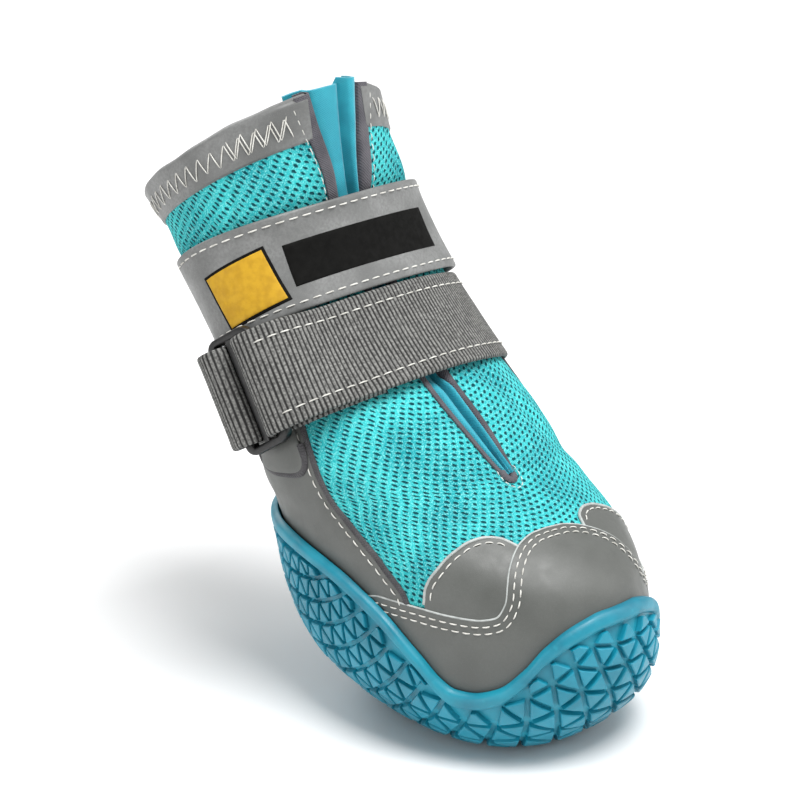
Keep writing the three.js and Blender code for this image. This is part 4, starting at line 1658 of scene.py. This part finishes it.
@dataclass
class Gusset:
    """Stretch tongue behind the slit, in one piece with two pleats that stand in the gap."""

    thick: float = 0.7
    low_ring: float = 7.15
    low: float = -2.75
    flange: float = 3.6
    proud: float = 1.6
    bulge: float = 0.9
    pleat: Rows = (
        (-2.0, -3.0), (-1.45, -2.9), (-1.1, -2.5), (-0.85, -0.9), (-0.45, -0.45), (0.02, -0.5),
        (0.2, -0.9), (0.3, -1.5), (0.36, -0.9), (0.44, 0.7), (0.58, 1.1), (0.74, 0.7), (0.84, -1.3),
        (1.05, -2.7), (1.45, -2.9), (2.0, -3.0),
    )

    def section(self, rings: Array) -> tuple[Array, Array, Array]:
        """The pleats' section at each ring: opened to the slit's width, and settled lower down the vamp.

        Args:
            rings: Ring numbers.

        Returns:
            Place across in half widths of the slit, then distance across and height.
        """
        rows = np.array(self.pleat, float)
        key, place = np.linspace(0, 1, len(rows)), np.linspace(0, 1, 60)
        across, height = (Curve(tuple(zip(key, column))).at(place) for column in rows.T)
        half = np.maximum(SLIT.at(rings), 0.5)
        inside = np.abs(across) <= 1
        beyond = np.sign(across) * (np.abs(across) - 1).clip(0)
        side = np.where(inside, across, np.sign(across))[None] * half[:, None] + beyond[None] * self.flange
        vamp = 1 - ease(8.7, 9.5, rings)
        settle = np.maximum(lerp(0.45, 1.0, ease(8, 15, rings)), vamp)[:, None] * np.where(inside, 1, 0)[None]
        settle = np.maximum(settle, ease(1.0, 1.3, np.abs(across))[None])
        bulge = np.exp(-(((across + 0.35) / 0.45) ** 2)) * vamp[:, None] * self.bulge
        lifted = (height[None] - self.low) * settle + self.low + bulge * inside[None]
        sway = 0.25 * np.sin(rings * 2.1)[:, None] * (np.abs(across) < 1)[None]
        return across, side + sway, lifted

    def build(self) -> None:
        """Makes the pleated sheet, its top edge standing a little over the collar."""
        rings = np.linspace(self.low_ring, COLLAR, 110)
        across, side, lifted = self.section(rings)
        angle = LAST.side_angle(rings[:, None], side)
        ring = np.broadcast_to(rings[:, None], angle.shape)
        proud = (self.proud * ease(14.2, 15, rings))[:, None] * np.where(across > 0.3, 1.4, 0.75)[None]
        outer = LAST.over(ring, angle, lifted) + proud[..., None] * LAST.rise(0.0, 0.2)
        normal = unit(np.cross(np.gradient(outer, axis=1), np.gradient(outer, axis=0)))
        sign = np.sign((normal * LAST.outward(ring, angle)).sum(-1).mean())
        inner = outer - normal * sign * self.thick
        piece = shell(outer, inner).place("pleated_tongue", "tongue_fabric", Finish.TONGUE, sharp=60)
        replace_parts(piece, "tongue")


# Straps


@dataclass(frozen=True)
class Line:
    """Where a strap lies: its ring numbers at the front and the heel, its width and its thickness."""

    front: float
    heel: float
    width: float
    thick: float
    gap: float = 0.3

    def ring(self, angle: Array) -> Array:
        """Ring number of the strap's middle line at an angle."""
        return lerp(self.heel, self.front, (1 + np.cos(np.radians(angle))) / 2)

    def at(self, angle: Array, across: Array, height: Array) -> Array:
        """Points at an angle, a distance across the strap and a height over the upper."""
        angle, across, height = np.broadcast_arrays(angle, across, height)
        return LAST.over(LAST.climb(self.ring(angle), angle, across), angle, height)

    def degrees_per_mm(self, angle: Array, height: Array) -> Array:
        """Degrees turned in one millimetre along the strap."""
        gap = self.at(angle + 1.0, 0.0, height) - self.at(angle - 1.0, 0.0, height)
        return 2 / np.linalg.norm(gap, axis=-1)

    def layer(self, below: Number) -> Number:
        """Height of the middle of the strap over this many layers of itself."""
        return AIR + self.thick / 2 + below * (self.thick + self.gap)


ANKLE = Line(12.0, 12.3, 18.8, 0.9)
WEBBING = Line(10.0, 9.9, 19.3, 1.1)


@dataclass(frozen=True)
class RingPlan:
    """Rectangular slide that the webbing runs through; its black middle bar stands in for the shade between the
    folds.
    """

    angle: float = -84.0
    long: float = 22.6
    wide: float = 11.6
    bar: float = 2.4
    end: float = 1.5
    # Width of the middle bar, a dark bar that stands in for the shade in the gap between the webbing's folds.
    middle: float = 1.6
    thick: float = 2.0
    corner: float = 1.5
    lift: float = 0.2
    clear: float = 0.6

    @property
    def up(self) -> float:
        """Height of the ring's middle over the upper."""
        return ANKLE.layer(2) - ANKLE.thick / 2 + self.lift + self.thick / 2

    @property
    def fold(self) -> float:
        """Radius of the webbing's turn round a bar."""
        return math.hypot(self.bar, self.thick) / 2 + self.clear + WEBBING.thick / 2

    @property
    def across(self) -> Array:
        """Direction of the long bars."""
        return unit(WEBBING.at(self.angle, 2.0, 0.0) - WEBBING.at(self.angle, -2.0, 0.0))

    @property
    def per(self) -> float:
        """Degrees turned in one millimetre at the ring."""
        return float(WEBBING.degrees_per_mm(self.angle, self.up))

    def rise(self, angle: float) -> float:
        """Rise of the flat ring, where it passes an angle, over the curve that the strap follows."""
        ends = WEBBING.at(np.array([self.angle, self.angle, angle]), 0.0, self.up + np.array([0.0, 1.0, 0.0]))
        return float(np.dot(ends[0] - ends[2], ends[1] - ends[0]))

    def bar_angle(self, side: int) -> float:
        """Angle of a long bar's middle."""
        return self.angle + side * (self.wide - self.bar) / 2 * self.per

    def turn(self, angle: float, away: int) -> Array:
        """Half turn round a bar, from outside to inside.

        Args:
            angle: Angle of the bar's middle.
            away: Way the turn bulges, 1 towards the boot's own left.

        Returns:
            Rows of angle, height and flatness.
        """
        half = np.linspace(0, math.pi, 19)
        height = self.up + self.rise(angle) + np.cos(half) * self.fold
        return np.stack([angle + away * np.sin(half) * self.fold * self.per, height, np.ones(19)], 1)


RING = RingPlan()


def tape(line: Line, path: Array, pitch: float, relief: Relief, spans: int = 22) -> Shape:
    """Strap along a path, with its thickness square to the path.

    Args:
        line: The strap's line and sizes.
        path: Rows of angle, height and flatness; a flat row is straight, along the ring's bars.
        pitch: Distance between points along the strap.
        relief: Extra height of its faces by distance along and share across, from -0.5 to 0.5.
        spans: Spans across it.

    Returns:
        The closed strap, its cloth measured along and across it.
    """
    middle = line.at(path[:, 0], np.zeros(len(path)), path[:, 1])
    travel = lengths(middle, 0)
    count = int(travel[-1] / pitch)
    at = np.linspace(0, travel[-1], count + 1)
    angle, height, flat = (np.interp(at, travel, path[:, k]) for k in range(3))
    per = line.degrees_per_mm(angle, height)
    run = np.stack([np.gradient(angle) / per, np.gradient(height)], 1)
    run /= np.linalg.norm(run, axis=1, keepdims=True)
    shares, full = edged(spans, line.width, line.thick * 0.6)
    across = (shares - 0.5) * line.width
    ends = thinned(count + 1, 0.5)

    def face(side: int, extra: Array) -> Array:
        """One face of the strap.

        Args:
            side: 1 for the outer face, -1 for the inner one.
            extra: Relief of the face.

        Returns:
            Points, along by across by 3.
        """
        offset = side * (line.thick / 2 * np.minimum(full[None], ends[:, None]) + extra)
        angle_here = angle[:, None] - run[:, 1:] * offset * per[:, None]
        height_here = height[:, None] + run[:, :1] * offset
        centre = line.at(angle_here, np.zeros_like(angle_here), height_here)
        straight = centre + across[None, :, None] * RING.across
        curved = line.at(angle_here, np.broadcast_to(across, angle_here.shape), height_here)
        return lerp(curved, straight, flat[:, None, None])

    rib = relief(at[:, None], shares[None] - 0.5) * full[None]
    cloth = np.stack(np.broadcast_arrays(at[:, None], across[None]), -1)
    return shell(face(1, rib), face(-1, rib), cloth)


def ribs(pitch: float, tall: float, fade: Callable[[Array], Array]) -> Relief:
    """Relief of woven ribs across a strap: higher along its edges, and fading along its length.

    Args:
        pitch: Distance between ribs.
        tall: Height of a rib.
        fade: Part of the height that is left, by distance along.

    Returns:
        Relief by distance along and share across.
    """

    def relief(along: Array, share: Array) -> Array:
        """Cosine ribs, their height eased from the edges to the middle."""
        edge = lerp(0.55, 1.0, ease(0.36, 0.42, np.abs(share)))
        return tall * edge * fade(along) * np.cos(2 * math.pi * along / pitch)

    return relief


def strap_seam(
    line: Line, angle: Array, across: float, height: Array, seam: Seam, flat: Number = 0.0,
) -> Shape:
    """Stitches along a strap.

    Args:
        line: The strap's line and sizes.
        angle: Angles along it.
        across: Distance from its middle.
        height: Height of its face.
        seam: The stitches.
        flat: How flat the strap is across at each angle, from 0 to 1.

    Returns:
        The stitches.
    """
    points = line.at(angle, across, height)
    up = line.at(angle, across, height + 0.2) - points
    straight = line.at(angle, 0.0, height) + across * RING.across
    points = lerp(points, straight, np.broadcast_to(flat, angle.shape)[:, None])
    return seam.along(points, unit(up))


@dataclass
class AnkleStrap:
    """Reflective strap once round the ankle, its free end lapped over its start on the boot's right."""

    tail: float = -118
    lap: float = 45
    lean: float = 7

    def height(self, share: Array) -> Array:
        """Height of the strap's middle at a share of its length: it settles from the lap to the upper."""
        settled = lerp(ANKLE.layer(1), ANKLE.layer(0), ease(0.35, 0.8, share))
        return settled + 0.18 * np.sin(share * 31) * ease(0.02, 0.1, share)

    def patch(self, ends: tuple, edges: tuple, rise: float, thick: float, lean: float = 0.0) -> Shape:
        """Flat patch on the strap, turned by a few degrees.

        Args:
            ends: Angles of its two ends.
            edges: Distances of its lower and upper edge from the strap's middle.
            rise: Height of its underside over the strap.
            thick: Its thickness.
            lean: Degrees that it is turned by.

        Returns:
            The closed patch.
        """
        (low, high), (foot, head) = ends, edges
        rows, full_rows = edged(16, head - foot, 0.25)
        columns, full_columns = edged(24, 14, 0.25)
        angle = lerp(low, high, columns)[None]
        across = lerp(foot, head, rows)[:, None]
        tilt = math.tan(math.radians(lean))
        per = ANKLE.degrees_per_mm(np.array((low + high) / 2), np.array(1.0))
        aside, above = (angle - (low + high) / 2) / per, across - (foot + head) / 2
        angle, across = angle - tilt * above * per, across + tilt * aside
        base = self.height((angle - self.tail) / (360 + self.lap)) + ANKLE.thick / 2 + rise
        full = np.minimum(full_rows[:, None], full_columns[None])
        base = np.broadcast_to(base, full.shape)
        return shell(ANKLE.at(angle, across, base + thick * full), ANKLE.at(angle, across, base - 0.02))

    def build(self) -> None:
        """Makes the strap, its stitches, its bare patches and the hook tape under its free end."""
        share = np.linspace(0, 1, 400)
        path = np.stack([self.tail + (360 + self.lap) * share, self.height(share), np.zeros(400)], 1)
        strap = tape(ANKLE, path, 0.55, lambda along, across: 0 * along * across)
        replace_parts(strap.place("ankle_tape", "reflective_tape", Finish.TAPE), "ankle_strap")
        turns = np.linspace(self.tail + 3, self.tail + 300, 900)
        high = self.height((turns - self.tail) / (360 + self.lap)) + ANKLE.thick / 2
        seam = Seam(1.9, 0.7, 0.15)
        threads = [strap_seam(ANKLE, turns, side * (ANKLE.width / 2 - 1.5), high, seam) for side in (-1, 1)]
        stitched("ankle_stitches", "reflective_tape", threads)
        for name, finish, *sizes in (
            ("square_patch_border", Finish.LABEL, (-86.0, -47.5), (-7.55, 3.75), 0.0, 0.14, self.lean),
            ("square_patch", Finish.PATCH, (-84.4, -49.1), (-7.0, 3.2), 0.1, 0.16, self.lean),
            ("blank_label", Finish.LABEL, (-41.5, 40.5), (-4.9, 3.3), 0.0, 0.2),
        ):
            self.patch(*sizes).place(name, "reflective_tape", finish)
        self.hooks()

    def hooks(self) -> None:
        """Hook tape under the free end, standing out past it, and the fuzz along its edge."""
        line = replace(ANKLE, width=ANKLE.width - 0.8, thick=0.42)
        share = np.linspace(-0.0055, 0.05, 60)
        angle = self.tail + (360 + self.lap) * share
        height = self.height(np.clip(share, 0, 1)) - ANKLE.thick / 2 - 0.24
        path = np.stack([angle, height, np.zeros(60)], 1)
        rough = tape(line, path, 0.4, lambda along, share: 0.06 * np.cos(along * 6) * np.cos(share * 120))
        rough.place("hook_tape", "reflective_tape", Finish.HOOK)
        rng = np.random.default_rng(7)
        count = 420
        across = rng.uniform(-line.width / 2, line.width / 2, count)
        turn = self.tail - 2.0 + rng.uniform(-0.9, 1.3, count)
        base = self.height(np.zeros(count)) - ANKLE.thick / 2 - rng.uniform(0.1, 0.45, count)
        steps = np.linspace(0, 1, 4)
        lean = rng.uniform(-0.5, 0.5, (count, 1)) * steps[None]
        bend = rng.uniform(0.6, 1.5, (count, 1)) * steps[None]
        lift = rng.uniform(-0.1, 0.6, (count, 1)) * steps[None] ** 2
        points = line.at(turn[:, None] - bend, across[:, None] + lean, base[:, None] + lift)
        up = LAST.outward(line.ring(turn[:, None] - bend), turn[:, None] - bend)
        tube(points, framed(points, up), disc(4, 0.055)).place("hook_fuzz", "reflective_tape", Finish.FUZZ)


@dataclass
class WebbingStrap:
    """Ribbed webbing round the instep and through the ring, the short loop that holds it, and the ring."""

    pitch: float = 0.92
    tall: float = 0.11
    step: float = 0.184
    seam_across: float = 6.9
    tab_from: float = -118.0
    tab_to: float = -74.0

    @staticmethod
    def route(side: int, away: Array, near: float, below: Number) -> Array:
        """Path of webbing that rises to a bar of the ring, turns round it and lies down under itself.

        Args:
            side: 1 for the bar towards the boot's left, -1 for the other.
            away: Degrees from the bar on the way to it.
            near: Degrees in which it rises.
            below: Layers of webbing under it before that.

        Returns:
            Rows of angle, height and flatness.
        """
        bar = RING.bar_angle(side)
        fold = RING.turn(bar, -side)
        risen = 1 - ease(0, near, away)
        outer = [bar + side * away, lerp(WEBBING.layer(below), fold[0, 1], risen), risen]
        turn = np.linspace(6, 46, 21)
        settle = np.clip((turn - 8) / 18, 0, 1)
        under = [bar + side * turn, lerp(fold[-1, 1], WEBBING.layer(0), settle), 1 - settle]
        return np.concatenate([np.stack(outer, 1), fold, np.stack(under, 1)])

    def build(self) -> None:
        """Makes the strap, the loop, their stitches, the ring and the tab."""
        bar = RING.bar_angle(1)
        away = np.linspace(178 - bar, 2, 200)
        path = self.route(1, away, 40, 1 - ease(0, 50, bar + away))
        relief = ribs(self.pitch, self.tall, lambda along: lerp(0.5, 1.0, ease(52, 66, along)))
        strap = tape(WEBBING, path, self.step, relief, 20)
        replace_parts(strap.place("ribbed_webbing", "webbing", Finish.WEBBING, sharp=60), "webbing_strap")
        short = replace(WEBBING, width=WEBBING.width - 0.6)
        back = self.route(-1, np.linspace(50, 4, 40), 34, 1)
        loop = tape(short, back, self.step, ribs(self.pitch, self.tall, np.ones_like), 20)
        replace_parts(loop.place("ribbed_loop", "webbing", Finish.WEBBING, sharp=60), "ring_loop")
        turns = np.linspace(172, bar + 2.5, 900)
        high, flat = (np.interp(-turns, -path[:200, 0], path[:200, column]) for column in (1, 2))
        high = high + WEBBING.thick / 2 + self.tall
        sides, seam = (-self.seam_across, self.seam_across), Seam(1.9, 0.7, 0.14)
        threads = [strap_seam(WEBBING, turns, across, high, seam, flat) for across in sides]
        stitched("webbing_stitches", "webbing", threads)
        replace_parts(self.ring().place("plastic_ring", "ring_plastic", Finish.PLASTIC, sharp=60), "strap_ring")
        self.tab()

    @staticmethod
    def ring() -> Shape:
        """A squared bar carried round a rounded rectangle, and across its middle a slimmer dark bar that stands
        in for shade.

        Returns:
            The ring.
        """
        centre = WEBBING.at(RING.angle, 0.0, RING.up)
        out = unit(WEBBING.at(RING.angle, 0.0, RING.up + 1) - centre)
        along = unit(np.cross(RING.across, out))
        square = np.cross(along, RING.across)
        half = (np.array([RING.wide - RING.bar, RING.long - RING.end])) / 2 - RING.corner
        turn = np.linspace(0, 2 * math.pi, 65)[:-1]
        away = np.stack([np.cos(turn), np.sin(turn)], 1)
        middle = np.sign(np.stack([np.cos(turn + 1e-6), np.sin(turn + 1e-6)], 1)) * half
        flat = middle + RING.corner * away
        points = centre + flat[:, :1] * along + flat[:, 1:] * RING.across
        slim = lerp(1, RING.end / RING.bar, np.abs(away[:, 1:]) ** 2)
        side = slim * (away[:, :1] * along + away[:, 1:] * RING.across)
        turned = np.stack([side, np.broadcast_to(square, side.shape)], 1)[None]
        outline = disc(24, 1.0)
        outline = np.sign(outline) * np.abs(outline) ** 0.55 * np.array([RING.bar / 2, RING.thick / 2])
        reach = np.linspace(-0.5, 0.5, 5)[:, None] * (RING.long - RING.end)
        level = np.broadcast_to(np.stack([along, square]), (1, 5, 2, 3))
        # The slimmer middle bar: a dark bar that stands in for the shade in the gap between the webbing's
        # folds.
        shade_bar_outline = outline * np.array([RING.middle / RING.bar, 0.8])
        shade_bar = tube((centre + reach * RING.across)[None], level, shade_bar_outline)
        return Shape.joined([tube(points[None], turned, outline, closed=True), shade_bar])

    def tab(self) -> None:
        """Rounded grey tab sewn to the upper under the ring's lower end, and its rolled edge."""
        shares, full = edged(20, 16, 0.4)
        rows, full_rows = edged(12, 7, 0.4)
        ring = lerp(8.95 - 1.15 * self.bow(shares)[None], 9.3, rows[:, None])
        tab = overlay(ring, lerp(self.tab_from, self.tab_to, shares)[None], 0.45, 1.0, (full_rows, full))
        tab.place("ring_tab", "webbing", Finish.PANEL)
        share = np.linspace(0.02, 0.98, 90)
        ring, turn = 9.0 - 1.2 * self.bow(share), lerp(self.tab_from, self.tab_to, share)
        edge = piped(ring, turn, 0.95, disc(12, 1.0) * np.array([0.75, 0.5]))
        edge.place("ring_tab_edge", "webbing", Finish.FOLD)

    @staticmethod
    def bow(share: Array) -> Array:
        """Height of the tab's rounded outline: the square root of one less the fourth power."""
        return np.sqrt(np.clip(1 - (2 * share - 1) ** 4, 0, 1))


# Stage and assembly


@dataclass
class Studio:
    """Pale floor, soft lights and the camera."""

    azimuth: float = -45
    elevation: float = 25
    distance: float = 0.56
    lens: float = 134.0
    aim: tuple[float, float, float] = (-0.003, 0.019, 0.0555)
    stand: float = 0.015
    half: float = 3.0
    sky: float = 0.42
    lights: tuple[tuple, ...] = (
        ("key", (0.0, -0.3, 1.0), 0.6, 14.0), ("fill", (0.75, -0.55, 0.45), 0.7, 3.0),
        ("rim", (0.1, 0.9, 0.6), 0.6, 4.0), ("low", (-0.8, 0.1, 0.14), 0.4, 1.6),
    )

    def surface(self) -> None:
        """Plain pale floor."""
        mesh = bpy.data.meshes.new("floor")
        corners = [(x * self.half, y * self.half, 0) for x, y in ((-1, -1), (1, -1), (1, 1), (-1, 1))]
        mesh.from_pydata(corners, [], [(0, 1, 2, 3)])
        floor = bpy.data.objects.new("floor", mesh)
        bpy.context.scene.collection.objects.link(floor)
        material = bpy.data.materials.new("floor")
        material.use_nodes = True
        shader = material.node_tree.nodes["Principled BSDF"]
        shader.inputs["Base Color"].default_value = (0.86, 0.86, 0.86, 1)
        shader.inputs["Roughness"].default_value = 0.7
        mesh.materials.append(material)

    @staticmethod
    def aimed(piece: bpy.types.Object, place: Vector, at: Vector) -> None:
        """Puts a light or the camera in its place and turns it.

        Args:
            piece: The object.
            place: Where it stands.
            at: The point that it looks at.
        """
        piece.location = place
        piece.rotation_mode = "QUATERNION"
        piece.rotation_quaternion = (at - place).to_track_quat("-Z", "Y")
        bpy.context.scene.collection.objects.link(piece)

    def build(self) -> None:
        """Makes the floor, the lights, the sky and the camera."""
        self.surface()
        for name, place, size, power in self.lights:
            lamp = bpy.data.lights.new(name, "AREA")
            lamp.size, lamp.energy = size, power
            self.aimed(bpy.data.objects.new(name, lamp), Vector(place), Vector((0, 0.01, 0.05)))
        world = bpy.data.worlds.new("studio")
        world.use_nodes = True
        glow = world.node_tree.nodes["Background"].inputs
        glow["Color"].default_value, glow["Strength"].default_value = (1, 1, 1, 1), self.sky
        bpy.context.scene.world = world
        bpy.context.scene.view_settings.view_transform = "Standard"
        a, e = math.radians(self.azimuth), math.radians(self.elevation)
        back = Vector((math.sin(a) * math.cos(e), -math.cos(a) * math.cos(e), math.sin(e)))
        data = bpy.data.cameras.new("camera")
        data.lens, data.clip_start, data.clip_end = self.lens, 0.01, 20
        camera = bpy.data.objects.new("camera", data)
        self.aimed(camera, Vector((0, 0, self.stand)) + back * self.distance, Vector(self.aim))
        bpy.context.scene.camera = camera


def main() -> None:
    """Builds the sub-assemblies in order."""
    logging.basicConfig(level=logging.INFO, format="%(message)s")
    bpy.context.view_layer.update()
    for assembly in (
        Studio, CupSole, MeshUpper, Gusset, HeelPanel, ToeCap, CollarBand, SlitBinding, AnkleStrap,
        WebbingStrap,
    ):
        LOG.info("building %s", assembly.__name__)
        assembly().build()


if __name__ == "__main__":
    main()
